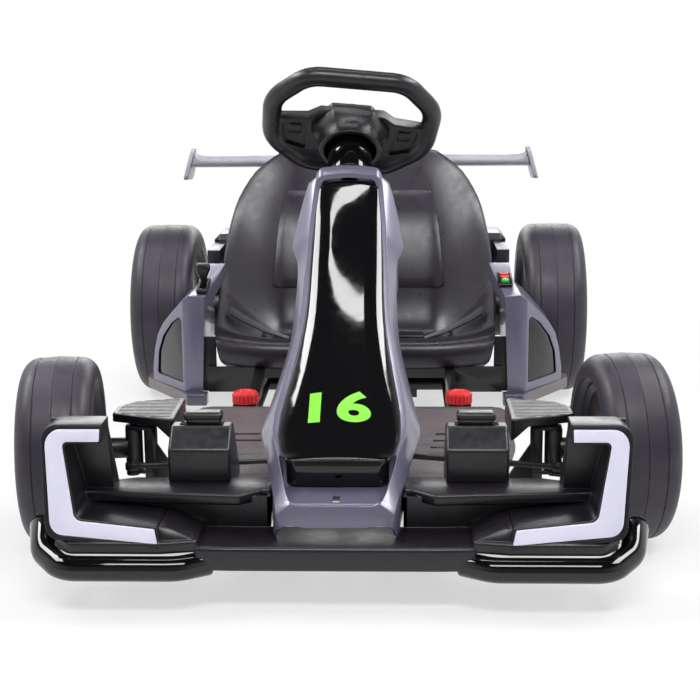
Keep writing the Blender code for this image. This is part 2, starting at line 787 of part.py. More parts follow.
def front_bumper(front):
    """Lip, slanted recess wall, shelf, flanges and the two light housings."""
    lip_rear = RECESS_WALL_Y + 0.006
    lip = add("front_bumper", plate(
        [(0.0, LIP_FRONT), (LIP_HALF * 0.75, LIP_FRONT + 0.002), (LIP_HALF, LIP_FRONT + 0.004),
         (LIP_HALF, lip_rear), (-0.02, lip_rear), (-0.02, LIP_FRONT)], LIP_BOTTOM, LIP_TOP),
        front, moulded_black())
    bevel(lip, 0.004, 1)
    bend_x = STUB_X + STUB_TUBE_RADIUS + 0.003
    wall_end = BUMPER_HALF - 0.006
    wall = plate([(-0.02, RECESS_WALL_Y), (bend_x, RECESS_WALL_Y), (wall_end, RECESS_WALL_OUTER_Y),
                  (wall_end, RECESS_WALL_OUTER_Y + 0.006), (bend_x, RECESS_WALL_Y + 0.006),
                  (-0.02, RECESS_WALL_Y + 0.006)], LIP_BOTTOM + 0.003, SHELF_TOP - 0.006)
    shelf = plate([(-0.02, -0.165), (0.085, -0.165), (0.110, -0.188), (0.290, -0.166), (0.290, -0.150),
                   (0.262, -0.131), (0.236, SHELF_REAR), (-0.02, SHELF_REAR)],
                  SHELF_TOP - SHELF_THICKNESS, SHELF_TOP)
    flange = plate(rounded([(LIP_HALF - 0.004, -0.165, 0.0), (LIP_HALF - 0.004, -0.233, 0.0),
                            (0.190, -0.243, 0.010), (0.292, -0.243, 0.012), (0.306, -0.226, 0.006),
                            (0.306, -0.160, 0.0)], 2), 0.0705, 0.0815)
    housing = leaning(upright(light_outline(0.005), 0.0, 0.075))
    housing_rear = box((0.15, RECESS_WALL_OUTER_Y, 0.0), (0.40, 0.1, 0.3))
    block = plate([(0.2590, -0.131), (0.2590, -0.172), (BUMPER_HALF, -0.172), (BUMPER_HALF, -0.164),
                   (0.298, -0.149)], SHELF_TOP - SHELF_THICKNESS + 0.002, 0.2005)
    housing_tool = tool(housing, front)
    cut(housing_tool, tool(housing_rear, front))
    join(lip, tool(wall, front), tool(shelf, front), tool(flange, front), housing_tool, tool(block, front))
    slot = box((-0.05, -0.30, LIP_TOP + 0.0015), (NOSE_SLOT_HALF, -0.10, 0.30))
    pocket = leaning(upright(light_outline(SEAT_GAP), -0.02, LIGHT_POCKET))
    cut(lip, tool(slot, front), tool(pocket, front))
    return mirror(lip)


def light(side_name, side, front):
    """A C-shaped lens that stands a little proud of its pocket."""
    proud = LIGHT_THICKNESS - LIGHT_POCKET + SEAT_GAP
    lens = leaning(upright(light_outline(0.0), -proud, LIGHT_POCKET - SEAT_GAP))
    item = add(side_name + "_light", sided(lens, side), front, lens_white())
    return bevel(item, 0.0010, 1, 60.0)


def guard_path():
    """The right-hand guard tube, from beside the light housing down and across to the lip."""
    end_y = -0.1745
    lift = 0.024
    corners = [(0.337, end_y, 0.0), (0.327, -0.214, 0.036), (0.298, GUARD_FRONT, 0.036),
               (LIP_HALF + SEAT_GAP, GUARD_FRONT, 0.0)]
    points = []
    for x, y in rounded(corners, 3):
        share = max(0.0, (y - GUARD_FRONT) / (end_y - GUARD_FRONT))
        points.append((x, y, GUARD_Z + lift * share ** 1.5))
    return points


def guard_tube(side_name, side, front):
    item = add(side_name + "_bumper_tube", sided(tube(guard_path(), GUARD_RADIUS, 3), side),
               front, gloss_black())
    return item


def chord(outline, y):
    """The X range that an outline covers at one Y."""
    hits = []
    for (x0, y0), (x1, y1) in zip(outline, outline[1:] + outline[:1]):
        if (y0 - y) * (y1 - y) < 0:
            hits.append(x0 + (x1 - x0) * (y - y0) / (y1 - y0))
    return min(hits), max(hits)


def arm_cover(side_name, side, front):
    """The cover over a kingpin: ribs across its flat top, and a belly that deepens inwards."""
    base = BARREL_TOP + SEAT_GAP + EAR_THICKNESS + 0.004 + SEAT_GAP
    top = base + ARM_COVER_THICKNESS
    belly = base - ARM_COVER_BELLY
    inner_x = 0.207
    outline = rounded([(inner_x, -0.030, 0.006), (0.289, 0.000, 0.008), (0.288, 0.038, 0.010),
                       (0.270, 0.062, 0.010), (inner_x, 0.080, 0.006)], 2)
    cover = add(side_name + "_arm_cover", sided(plate(outline, belly, top), side), front, moulded_black())
    bevel(cover, 0.0020, 1)
    yoke_room = upright([(inner_x, belly), (0.229, base), (0.300, base), (0.300, belly - 0.01),
                         (inner_x - 0.01, belly - 0.01)], -0.05, 0.10)
    grooves = [yoke_room]
    for i in range(6):
        y = -0.009 + 0.0145 * i
        low, high = chord(outline, y)
        grooves.append(box((low + 0.007, y, top - 0.0015), (high - 0.009, y + 0.0035, top + 0.01)))
    cut(cover, *(tool(sided(mesh, side), front) for mesh in grooves))
    return cover


# Nose fairing

# Stations along the fairing: distance from the axle, crown height, panel half-width, edge height,
# edge half-width, wall half-width and wall bottom
NOSE_STATIONS = (
    (NOSE_FRONT, 0.157, 0.0726, 0.1237, 0.0790, 0.0755, FLOOR_TOP + SEAT_GAP),
    (-0.100, 0.172, 0.0740, 0.132, 0.0857, 0.0755, FLOOR_TOP + SEAT_GAP),
    (-0.040, 0.200, 0.0690, 0.154, 0.0958, 0.0840, FLOOR_TOP + SEAT_GAP),
    (0.030, 0.236, 0.0600, 0.190, 0.0830, 0.0760, FLOOR_TOP + SEAT_GAP),
    (0.100, 0.277, 0.0520, 0.231, 0.0720, 0.0680, 0.165),
    (0.170, 0.326, 0.0490, 0.282, 0.0690, 0.0650, 0.226),
    (0.200, 0.352, 0.0475, 0.308, 0.0755, 0.0690, 0.252),
    (0.240, 0.385, 0.0460, 0.345, 0.0738, 0.0690, 0.288),
    (NOSE_END, 0.440, 0.0390, 0.420, 0.0570, 0.0540, 0.365))
NOSE_FIXED_END = 0.030
NOSE_TO_HUB = 0.13222

# Stations along the chin: distance, top height, top half-width, bottom height, bottom half-width
CHIN_STATIONS = (
    (-0.2235, 0.1180, 0.0515, 0.092, 0.0540), (-0.200, 0.1188, 0.0610, 0.077, 0.0700),
    (-0.170, TRAY_Z, 0.0725, 0.080, 0.0735), (-0.126, TRAY_Z, 0.0740, 0.0853, 0.0740))


def nose_station(station):
    """A station whose upper half keeps up with the column's length, at its height over the column."""
    y, crown, panel_half, edge_z, edge_half, wall_half, bottom = station
    if y <= NOSE_FIXED_END:
        return station
    end = along_column(COLUMN_LENGTH - NOSE_TO_HUB).y
    moved = NOSE_FIXED_END + (y - NOSE_FIXED_END) * (end - NOSE_FIXED_END) / (NOSE_END - NOSE_FIXED_END)
    rise = (moved - y) * math.tan(COLUMN_TILT)
    return moved, crown + rise, panel_half, edge_z + rise, edge_half, wall_half, bottom + rise


def nose_ring(station, wall):
    """One section of the fairing, drawn in by the wall for its hollow."""
    y, crown, panel_half, edge_z, edge_half, wall_half, bottom = station
    deck = crown - NOSE_CROWN
    half = [
        (panel_half - wall * 0.4, deck - wall), (edge_half - wall * 1.1, edge_z - wall * 0.4),
        (wall_half - wall, edge_z - 0.010 - wall * 0.4), (wall_half - wall, bottom - wall * 5)]
    return [(x, y, z) for x, z in half] + [(-x, y, z) for x, z in reversed(half)]


def chin_ring(station, wall):
    y, top, top_half, bottom, bottom_half = station
    half = [(top_half - 0.003 - wall, top - wall), (top_half - wall, top - 0.004 - wall),
            (bottom_half - wall, bottom - wall * 5)]
    return [(x, y, z) for x, z in half] + [(-x, y, z) for x, z in reversed(half)]


def shifted(stations, front, rear):
    """The stations with the first and last moved along the lines to their neighbours."""
    def moved(station, neighbour, distance):
        share = distance / (neighbour[0] - station[0])
        return tuple(a + (b - a) * share for a, b in zip(station, neighbour))

    first = moved(stations[0], stations[1], front)
    last = moved(stations[-1], stations[-2], rear)
    return [first, *stations[1:-1], last]


def nose_cover(front):
    """The hollow fairing: sloping edge bands, side walls and the chin with its flat tray."""
    stations = [nose_station(s) for s in NOSE_STATIONS]
    item = add("nose_cover", loft([nose_ring(s, 0.0) for s in stations]), front, fairing_grey())
    chin = tool(loft([chin_ring(s, 0.0) for s in CHIN_STATIONS]), front)
    hollow = loft([nose_ring(s, NOSE_WALL) for s in shifted(stations, NOSE_WALL, 0.010)])
    chin_hollow = loft([chin_ring(s, NOSE_WALL) for s in shifted(CHIN_STATIONS, NOSE_WALL, 0.020)])
    rod_slot = box((-0.12, -0.058, 0.05), (0.12, -0.006, 0.119))
    tray_slot = box((-0.003, -0.176, TRAY_Z - 0.01), (0.003, -0.160, TRAY_Z + 0.01))
    join(item, chin)
    cut(item, *(tool(mesh, front) for mesh in (hollow, chin_hollow, rod_slot, tray_slot)))
    return item


def nose_panel(front):
    """The crowned gloss panel on the fairing, from its rounded front end to the collar."""
    front_y, crown, half = NOSE_STATIONS[0][:3]
    stations = [(front_y - 0.018, crown - 0.007, half - 0.010), (front_y - 0.012, crown - 0.0046, half - 0.002)]
    stations += [nose_station(station)[:3] for station in NOSE_STATIONS]
    rings = []
    for y, top, wide in stations:
        deck = top - NOSE_CROWN + SEAT_GAP
        ring = [(-wide, y, deck), (wide, y, deck)]
        for share in (1.0, 0.82, 0.45, 0.0, -0.45, -0.82, -1.0):
            rise = 0.0015 + (NOSE_CROWN - 0.0015) * (1 - share * share)
            ring.append((wide * share, y, deck + rise))
        rings.append(ring)
    return add("nose_panel", loft(rings), front, gloss_black())


def nose_band(front):
    """The recessed band on the tray below the panel's front end."""
    top = NOSE_STATIONS[0][1] - 0.007 - NOSE_CROWN
    rear = NOSE_FRONT - SEAT_GAP
    outline = rounded([(0.071, rear, 0.0), (0.071, rear - 0.011, 0.004), (0.060, rear - 0.016, 0.006),
                       (-0.060, rear - 0.016, 0.006), (-0.071, rear - 0.011, 0.004), (-0.071, rear, 0.0)])
    return add("nose_band", plate(outline, TRAY_Z + SEAT_GAP, top), front, moulded_black())


def column_collar(column):
    """The gloss collar between the fairing and the wheel's skirt, on a sleeve over the bearing."""
    bore = running_bore(COLUMN_RADIUS, COLLAR_STEPS)
    profile = [(bore, COLLAR_TOP), (COLLAR_RADIUS - 0.005, COLLAR_TOP), (COLLAR_RADIUS, COLLAR_TOP - 0.006),
               (COLLAR_RADIUS, COLLAR_LOW), (SLEEVE_RADIUS, COLLAR_LOW),
               (SLEEVE_RADIUS, BEARING_TOP + SEAT_GAP), (bore, BEARING_TOP + SEAT_GAP)]
    return turned("column_collar", profile, COLLAR_STEPS, column, gloss_black(), closed=True)


# Pedals

def pedal_housing(side_name, side, front):
    """A moulded hood on the shelf with two fins that carry the pedal's hinge."""
    half = PEDAL_HOUSING_WIDTH / 2
    base = SHELF_TOP + SEAT_GAP
    rear = SHELF_REAR + SEAT_GAP
    spare = 0.002
    outline = [(-0.140, base - spare), (-0.140, 0.1525), (-0.136, 0.158), (-0.113, 0.1765), (-0.092, 0.176),
               (-0.042, 0.107), (-0.042, 0.095), (rear - spare, 0.095), (rear - spare, base - spare)]
    spot = Matrix.Translation((PEDAL_X * side, 0, 0))
    hood = add(side_name + "_pedal_housing", profile_across(outline, -half, half), front,
               moulded_black(), spot)
    bevel(hood, 0.004, 1, 25.0)
    inner = [(-0.137, 0.08), (-0.137, 0.1505), (-0.134, 0.1555), (-0.112, 0.1732), (-0.02, 0.1732),
             (-0.02, 0.08)]
    hollow = profile_across(inner, -half + PEDAL_WALL, half - PEDAL_WALL)
    head_half = PEDAL_HEAD_WIDTH / 2 + PEDAL_WALL
    notch = box((-head_half, -0.110, 0.160), (head_half, -0.05, 0.19))
    _, hinge_y, hinge_z = PEDAL_HINGE
    hole = rod((-half - 0.01, hinge_y, hinge_z), (half + 0.01, hinge_y, hinge_z), running_bore(0.003, 8), 8)
    shelf_room = box((-half - 0.01, -0.160, 0.080), (half + 0.01, rear, base))
    cut(hood, *(tool(mesh, front, spot) for mesh in (hollow, notch, hole, shelf_room)))
    return hood


def pedal(name, side, front):
    """A foot plate with anti-slip ribs and the head that shows above the hood."""
    spot = PEDAL_HINGE + Vector((PEDAL_X * side, 0, 0))
    hinge = frame_empty(name + "_hinge", spot, front)
    inner_half = PEDAL_HOUSING_WIDTH / 2 - PEDAL_WALL - 0.001
    lean = Vector((0.0, -0.466, 0.885))
    across = Vector((0.0, 0.885, 0.466)) * 0.0025

    def strip(length_low, length_high, half, share):
        corners = [lean * length_low - across * share, lean * length_low + across * share,
                   lean * length_high + across * share, lean * length_high - across * share]
        return profile_across([(c.y, c.z) for c in corners], -half, half)

    plate_half = PEDAL_PLATE_WIDTH / 2
    item = add(name, rod((-inner_half, 0, 0), (inner_half, 0, 0), 0.006, 10), hinge, moulded_black())
    pin = rod((-inner_half - 0.0035, 0, 0), (inner_half + 0.0035, 0, 0), 0.003, 8)
    head_half = PEDAL_HEAD_WIDTH / 2
    head = tool(box((-head_half, -0.048, 0.0745), (head_half, -0.028, 0.0860)), hinge)
    bevel(head, 0.003, 1)
    ribs = []
    for length in (0.024, 0.040, 0.056, 0.072):
        middle = lean * length + across
        end = Vector((plate_half - 0.004, 0, 0))
        ribs.append(tool(rod(middle - end, middle + end, 0.0016, 6), hinge))
    join(item, tool(pin, hinge), tool(strip(0.0, 0.080, plate_half, 1.0), hinge),
         tool(strip(0.070, 0.090, head_half - 0.002, 0.7), hinge), head, *ribs)
    return item


# Rear chassis

def seat_bracket_top(x, low, high, steps):
    """Points below the seat pan at one X, a little under its outer skin."""
    points = []
    for i in range(steps + 1):
        v = low + (high - low) * i / steps
        half = seat_point(1.0, v).x
        spot = seat_point(x / half, v)
        points.append((spot.y, spot.z - SEAT_WALL * 1.7))
    return points


def rear_frame(rear):
    """Outer rails with clamps, cross tubes, axle plates, seat brackets, battery tray, hoop, outriggers."""
    front_end = CLAMP_Y - 0.010
    rail = rod((RAIL_X, front_end, RAIL_Z), (RAIL_X, HOOP_Y + 0.010, RAIL_Z), REAR_RAIL_RADIUS)
    item = add("rear_frame", rail, rear, frame_steel())
    hoop_z = COVER_TOP - COVER_WALL - SEAT_GAP - CROSS_RADIUS
    pieces = [
        rod((-0.02, -0.240, RAIL_Z), (RAIL_X, -0.240, RAIL_Z), CROSS_RADIUS, 8),
        rod((-0.02, -0.070, RAIL_Z), (RAIL_X, -0.070, RAIL_Z), CROSS_RADIUS, 8),
        box((-0.02, -0.243, 0.044), (0.100, -0.067, 0.048)),
        box((-0.02, -0.243, 0.045), (0.100, -0.237, 0.064)),
        box((-0.02, -0.073, 0.045), (0.100, -0.067, 0.064)),
        box((KNOB_X - 0.016, CLAMP_Y - 0.012, RAIL_Z - 0.010), (KNOB_X + 0.018, CLAMP_Y + 0.012, CLAMP_TOP)),
        profile_across([(-0.036, RAIL_Z), (0.036, RAIL_Z), (0.022, REAR_TYRE_RADIUS + 0.018),
                        (-0.022, REAR_TYRE_RADIUS + 0.018)], RAIL_X - 0.004, RAIL_X + 0.004),
        rod((RAIL_X, HOOP_Y, RAIL_Z), (RAIL_X, HOOP_Y, hoop_z), CROSS_RADIUS, 8),
        rod((-0.02, HOOP_Y, hoop_z), (RAIL_X + 0.006, HOOP_Y, hoop_z), CROSS_RADIUS - 0.0005, 8),
        rod((RAIL_X, -0.225, RAIL_Z + 0.010), (POD_INNER_BOTTOM - 0.0012, -0.225, RAIL_Z + 0.010), 0.009, 8),
        profile_across([(CLAMP_Y + 0.045, RAIL_Z + 0.010), (CLAMP_Y + 0.073, RAIL_Z + 0.010),
                        (-0.289, 0.1085), (-0.299, 0.1085)], RAIL_X - 0.012, RAIL_X + 0.004),
        upright([(-0.02, SEAT_APRON_TOP), (SEAT_APRON_HALF, SEAT_APRON_TOP), (SEAT_APRON_HALF, POD_BOTTOM),
                 (RAIL_X, POD_BOTTOM), (RAIL_X - 0.009, 0.090), (-0.02, 0.090)], -0.298, -0.295),
        profile_across([(-0.200, RAIL_Z), (-0.110, RAIL_Z)] +
                       list(reversed(seat_bracket_top(RAIL_X, 5.3, 6.4, 3))), RAIL_X - 0.003, RAIL_X + 0.003)]
    join(item, *(tool(mesh, rear) for mesh in pieces))
    bore = rod((RAIL_X, front_end - 0.01, RAIL_Z), (RAIL_X, front_end + 0.150, RAIL_Z),
               FRONT_RAIL_RADIUS + SEAT_GAP)
    stud_hole = rod((KNOB_X, CLAMP_Y, CLAMP_TOP - KNOB_STUD_LENGTH - 0.0005), (KNOB_X, CLAMP_Y, CLAMP_TOP + 0.01),
                    running_bore(KNOB_STUD_RADIUS, 8), 8)
    axle_hole = rod((0.1, 0, REAR_TYRE_RADIUS), (0.2, 0, REAR_TYRE_RADIUS), REAR_AXLE_RADIUS + SEAT_GAP)
    cut(item, *(tool(mesh, rear) for mesh in (bore, stud_hole, axle_hole)))
    return mirror(item)


def rear_axle(rear):
    """The fixed axle with shoulders that hold the wheels off the gearboxes, and end nuts."""
    z = REAR_TYRE_RADIUS
    hub_in = REAR_HALF_TRACK - HUB_HALF_LENGTH - SEAT_GAP
    hub_out = REAR_HALF_TRACK + HUB_HALF_LENGTH + SEAT_GAP
    item = add("rear_axle", rod((-0.02, 0, z), (hub_out + 0.002, 0, z), REAR_AXLE_RADIUS),
               rear, bright_steel())
    shoulder = rod((GEARBOX_OUTER + SEAT_GAP, 0, z), (hub_in, 0, z), REAR_AXLE_RADIUS + 0.005)
    nut = rod((hub_out, 0, z), (hub_out + 0.009, 0, z), REAR_AXLE_RADIUS + 0.005, 6)
    join(item, tool(shoulder, rear), tool(nut, rear))
    return mirror(item)


def motor(side_name, side, rear):
    """A drive motor behind the axle with its round gearbox on the axle."""
    z = REAR_TYRE_RADIUS
    box_in = GEARBOX_OUTER - 0.036
    can_spot = Vector((0.0, 0.045, -0.014))
    gearbox = rod((box_in * side, 0, z), (GEARBOX_OUTER * side, 0, z), GEARBOX_RADIUS, 16)
    item = add(side_name + "_motor", gearbox, rear, moulded_black())
    can_low = Vector((0.176 * side, 0, z)) + can_spot
    can_high = Vector(((box_in + 0.004) * side, 0, z)) + can_spot
    lobe_low = Vector((box_in * side, 0.060, z - 0.014))
    lobe_high = Vector(((GEARBOX_OUTER - 0.006) * side, 0.060, z - 0.014))
    cap = Vector((0.168 * side, 0, z)) + can_spot
    join(item, tool(rod(can_low, can_high, MOTOR_RADIUS, 12), rear), tool(rod(lobe_low, lobe_high, 0.026), rear),
         tool(rod(cap, can_low + Vector((0.004 * side, 0, 0)), MOTOR_RADIUS * 0.5, 10), rear))
    bore = rod((0.15 * side, 0, z), (0.30 * side, 0, z), REAR_AXLE_RADIUS + SEAT_GAP)
    cut(item, tool(bore, rear))
    return item


def battery(rear):
    """The battery case in its tray between the cross tubes."""
    edge = CROSS_RADIUS + SEAT_GAP
    item = add("battery", box((-0.095, -0.240 + edge, 0.048 + SEAT_GAP), (0.095, -0.070 - edge, 0.108)),
               rear, moulded_black())
    return bevel(item, 0.003, 1)


def clamp_knob(side_name, side, rear):
    """A ribbed red knob on a stud that turns in the rail clamp."""
    pivot = frame_empty(side_name + "_knob_pivot", (KNOB_X * side, CLAMP_Y, CLAMP_TOP + SEAT_GAP), rear)
    outline = []
    ribs = 10
    for i in range(ribs * 4):
        angle = 2 * math.pi * i / (ribs * 4)
        radius = KNOB_RADIUS if i % 4 < 2 else KNOB_RADIUS - 0.0022
        outline.append((radius * math.cos(angle), radius * math.sin(angle)))
    item = add(side_name + "_clamp_knob", plate(outline, 0.0, KNOB_HEIGHT), pivot, knob_red())
    stud = rod((0, 0, -KNOB_STUD_LENGTH), (0, 0, 0.004), KNOB_STUD_RADIUS, 8)
    join(item, tool(stud, pivot))
    return item


# Seat and belt

# Stations along the seat from under the front lip to the top: middle distance and height,
# half-width, edge distance and height
SEAT_STATIONS = (
    (-0.296, 0.112, 0.205, -0.288, 0.112), (-0.310, 0.122, 0.214, -0.298, 0.124),
    (-0.311, 0.136, 0.219, -0.298, 0.138), (-0.302, 0.145, 0.223, -0.287, 0.149),
    (-0.280, 0.147, 0.225, -0.262, 0.160), (-0.220, 0.128, 0.228, -0.215, 0.182),
    (-0.150, 0.119, 0.230, -0.165, 0.205), (-0.105, 0.123, 0.230, -0.125, 0.225),
    (-0.075, 0.160, 0.227, -0.105, 0.262), (-0.050, 0.230, 0.220, -0.075, 0.305),
    (-0.015, 0.310, 0.208, -0.035, 0.350), (0.030, 0.370, 0.182, 0.005, 0.392),
    (0.066, 0.415, 0.152, 0.042, 0.415), (0.078, 0.427, 0.138, 0.054, 0.424))
SEAT_COLUMNS = 12


def seat_point(across, along):
    """A point on the seat's inner skin, -1 to 1 across and by station number along."""
    lower = min(int(along), len(SEAT_STATIONS) - 2)
    share = along - lower
    y, z, half, edge_y, edge_z = (
        a + (b - a) * share for a, b in zip(SEAT_STATIONS[lower], SEAT_STATIONS[lower + 1]))
    rise = max(0.0, (abs(across) - 0.40) / 0.60) ** 1.6
    return Vector((half * across, y + (edge_y - y) * rise, z + (edge_z - z) * rise))


def seat_shell(rear):
    """The one-piece bucket as an open skin with a wall thickness."""
    shape = bmesh.new()
    grid = []
    for k in range(len(SEAT_STATIONS)):
        row = [shape.verts.new(seat_point(-1 + 2 * i / SEAT_COLUMNS, k)) for i in range(SEAT_COLUMNS + 1)]
        grid.append(row)
    for lower, upper in zip(grid, grid[1:]):
        for i in range(SEAT_COLUMNS):
            shape.faces.new((lower[i], lower[i + 1], upper[i + 1], upper[i]))
    item = add("seat_shell", smooth(to_mesh(shape, "seat"), 60.0), rear, seat_black())
    wall = item.modifiers.new("Wall", "SOLIDIFY")
    wall.thickness = SEAT_WALL
    wall.offset = -1.0
    wall.use_even_offset = True
    return item


def facet_point(across, along):
    """A point on the flat facets between the seat's columns."""
    step = 2 / SEAT_COLUMNS
    column = math.floor((across + 1) / step + 0.001)
    low = column * step - 1
    share = (across - low) / step
    return seat_point(low, along).lerp(seat_point(low + step, along), share)


def seat_normal(across, along):
    """The inner skin's outward direction, towards the driver."""
    reach = 0.02
    over = facet_point(across + reach, along) - facet_point(across - reach, along)
    up = facet_point(across, along + reach) - facet_point(across, along - reach)
    return over.cross(up).normalized()


def lap_belt(rear):
    """The strap that lies over the seat's right bolster down to the buckle."""
    rings = []
    for across in (0.50, 4 / 6, 5 / 6, 0.92):
        near = facet_point(across, 5.10)
        far = facet_point(across, 5.60)
        up = seat_normal(across, 5.35)
        rings.append([near + up * 0.0032, far + up * 0.0032, far + up * 0.0056, near + up * 0.0056])
    return add("lap_belt", loft(rings), rear, belt_black())


def belt_buckle(rear):
    end = seat_point(0.50, 5.35)
    low = (end.x - 0.046, end.y - 0.017, end.z + 0.0018)
    high = (end.x - 0.0026, end.y + 0.017, end.z + 0.0130)
    item = add("belt_buckle", box(low, high), rear, moulded_black())
    return bevel(item, 0.002, 1)


# Side pods and controls

POD_INNER_TOP = 0.2370
POD_INNER_BOTTOM = 0.2435
POD_CORNER_X = 0.272
POD_SLANT = 4 / 3
WINDOW_DEPTH = 0.008


def slanted(mesh):
    """Shear a plate in X and Z so that it follows the pod's slanted front face."""
    shear = Matrix.Identity(4)
    shear[1][0] = POD_SLANT
    shear[1][3] = POD_FRONT - POD_SLANT * POD_CORNER_X
    mesh.transform(shear)
    return mesh


def window_outline(inset):
    return rounded([
        (0.2755 + inset, 0.081 + inset, 0.003), (0.3285 - inset, 0.081 + inset, 0.004),
        (0.3245 - inset, 0.120, 0.010), (0.3140 - inset, 0.148 - inset, 0.010),
        (0.2960 - inset * 0.5, 0.174 - inset, 0.008), (0.2755 + inset, 0.192 - inset * 1.5, 0.004)], 2)


def strip_frame(name, side, y, rear):
    """A frame on the pod's top strip, Y up the slope towards the rear and Z off its surface."""
    z = 0.2225 + (y + 0.290) * math.tan(STRIP_SLOPE)
    x = 0.2435 - (y + 0.290) * 0.05
    return frame_empty(name, (x * side, y, z), rear, Matrix.Rotation(STRIP_SLOPE, 4, "X"))


def pod_shell(side_name, side, rear):
    """Curved outer edge, front column and rising top strip around the recessed window."""
    outline = [(POD_INNER_TOP, 0.2215), (0.262, 0.2235)]
    outline += [(0.2745, 0.2140), (0.2960, 0.1905), (0.3130, 0.1700), (0.3255, 0.1480), (0.3330, 0.1210),
                (0.3380, 0.0880), (0.3380, POD_BOTTOM), (POD_INNER_BOTTOM, POD_BOTTOM)]
    shell = add(side_name + "_pod_shell", sided(upright(outline, POD_FRONT - 0.01, POD_REAR), side),
                rear, fairing_grey())
    plan = rounded([(0.200, POD_FRONT, 0.0), (POD_CORNER_X, POD_FRONT, 0.004), (0.338, -0.212, 0.006),
                    (0.345, -0.190, 0.006), (0.345, POD_REAR + 0.01, 0.0), (0.200, POD_REAR + 0.01, 0.0)])
    combine(shell, "INTERSECT", [tool(sided(plate(plan, 0.05, 0.30), side), rear)])

    def strip_ring(y, low, high, bottom, top):
        return [(low, y, bottom), (high, y, bottom), (high, y, top), (low, y, top)]

    slope = math.tan(STRIP_SLOPE)
    strip = loft([
        strip_ring(-0.290, 0.2365, 0.2530, 0.2000, 0.2225),
        strip_ring(-0.220, 0.2270, 0.2545, 0.2140, 0.2225 + 0.070 * slope),
        strip_ring(-0.160, 0.2200, 0.2540, 0.2300, 0.2225 + 0.130 * slope)])
    join(shell, tool(sided(strip, side), rear))
    pocket = slanted(upright(window_outline(0.0), -0.03, WINDOW_DEPTH))
    cut(shell, tool(sided(pocket, side), rear))
    return shell


def pod_window(side_name, side, rear):
    pane = slanted(upright(window_outline(SEAT_GAP), WINDOW_DEPTH - 0.005, WINDOW_DEPTH - SEAT_GAP))
    return add(side_name + "_pod_window", sided(pane, side), rear, gloss_black())


def pod_sill(side_name, side, rear):
    """The foot board under the pod, with its front step."""
    outline = rounded([(0.2360, POD_FRONT - 0.018, 0.003), (0.2660, POD_FRONT - 0.018, 0.004),
                       (0.2760, POD_FRONT - 0.002, 0.004), (0.3500, -0.196, 0.006),
                       (0.3520, POD_REAR, 0.004), (0.2460, POD_REAR, 0.0), (0.2460, POD_FRONT + 0.02, 0.0)], 2)
    board = plate(outline, 0.0495, POD_BOTTOM - SEAT_GAP)
    item = add(side_name + "_pod_sill", sided(board, side), rear, sill_brown())
    return bevel(item, 0.002, 1)


def lever_gate(rear):
    """The gate on the left pod, with the pocket that the lever's foot turns in."""
    spot = strip_frame("lever_gate_frame", -1, -0.262, rear)
    gate = add("lever_gate", box((-0.0095, -0.026, SEAT_GAP), (0.0085, 0.026, 0.0085)), spot, moulded_black())
    bevel(gate, 0.0015, 1)
    pocket = box((-0.0052, -0.018, 0.0013), (0.0052, 0.018, 0.02))
    cut(gate, tool(pocket, spot))
    return spot


def drive_lever(gate_frame):
    """The tapered lever on a short cross shaft."""
    pivot = frame_empty("drive_lever_pivot", (0, 0, 0.0050), gate_frame)
    foot = rod((-0.0048, 0, 0), (0.0048, 0, 0), 0.0033, 10)
    item = add("drive_lever", foot, pivot, moulded_black())

    def ring(half_x, half_y, z):
        corners = [(half_x, half_y, half_y * 0.45), (-half_x, half_y, half_y * 0.45),
                   (-half_x, -half_y, half_y * 0.45), (half_x, -half_y, half_y * 0.45)]
        return [(x, y, z) for x, y in rounded(corners, 1)]

    grip = loft([ring(0.0040, 0.0026, 0.0005), ring(0.0045, 0.0035, 0.008), ring(0.0065, 0.0050, 0.016),
                 ring(0.0110, 0.0070, 0.026), ring(0.0118, 0.0075, 0.033), ring(0.0095, 0.0060, 0.037)])
    join(item, tool(grip, pivot))
    return item


BUTTON_RADIUS = 0.006
ROCKER_SIZE = (0.0134, 0.0074)
PANEL_SPOTS = (-0.0165, 0.0, 0.0125)


def control_panel(rear):
    """The switch panel on the right pod with a round pocket and two oblong ones."""
    spot = strip_frame("control_panel_frame", 1, -0.235, rear)
    panel = add("control_panel", box((-0.0115, -0.028, SEAT_GAP), (0.0115, 0.022, 0.0065)), spot, gloss_black())
    bevel(panel, 0.0012, 1)
    floor = 0.0015
    holes = [rod((0, PANEL_SPOTS[0], floor), (0, PANEL_SPOTS[0], 0.02), BUTTON_RADIUS + SEAT_GAP)]
    half_x = ROCKER_SIZE[0] / 2 + SEAT_GAP
    half_y = ROCKER_SIZE[1] / 2 + SEAT_GAP
    for y in PANEL_SPOTS[1:]:
        holes.append(box((-half_x, y - half_y, floor), (half_x, y + half_y, 0.02)))
    cut(panel, *(tool(mesh, spot) for mesh in holes))
    return spot


def power_button(spot):
    pivot = frame_empty("power_button_slide", (0, PANEL_SPOTS[0], 0.0040), spot)
    item = add("power_button", rod((0, 0, 0), (0, 0, 0.0060), BUTTON_RADIUS), pivot, button_green())
    return item


def rocker(name, y, spot):
    pivot = frame_empty(name + "_pivot", (0, y, 0.0055), spot)
    half_x = ROCKER_SIZE[0] / 2
    half_y = ROCKER_SIZE[1] / 2
    crown = [(-half_x, -0.0022), (half_x, -0.0022), (half_x, 0.0030), (0.0, 0.0018), (-half_x, 0.0030)]
    return add(name, upright(crown, -half_y, half_y), pivot, knob_red())


# Rear cover and wing

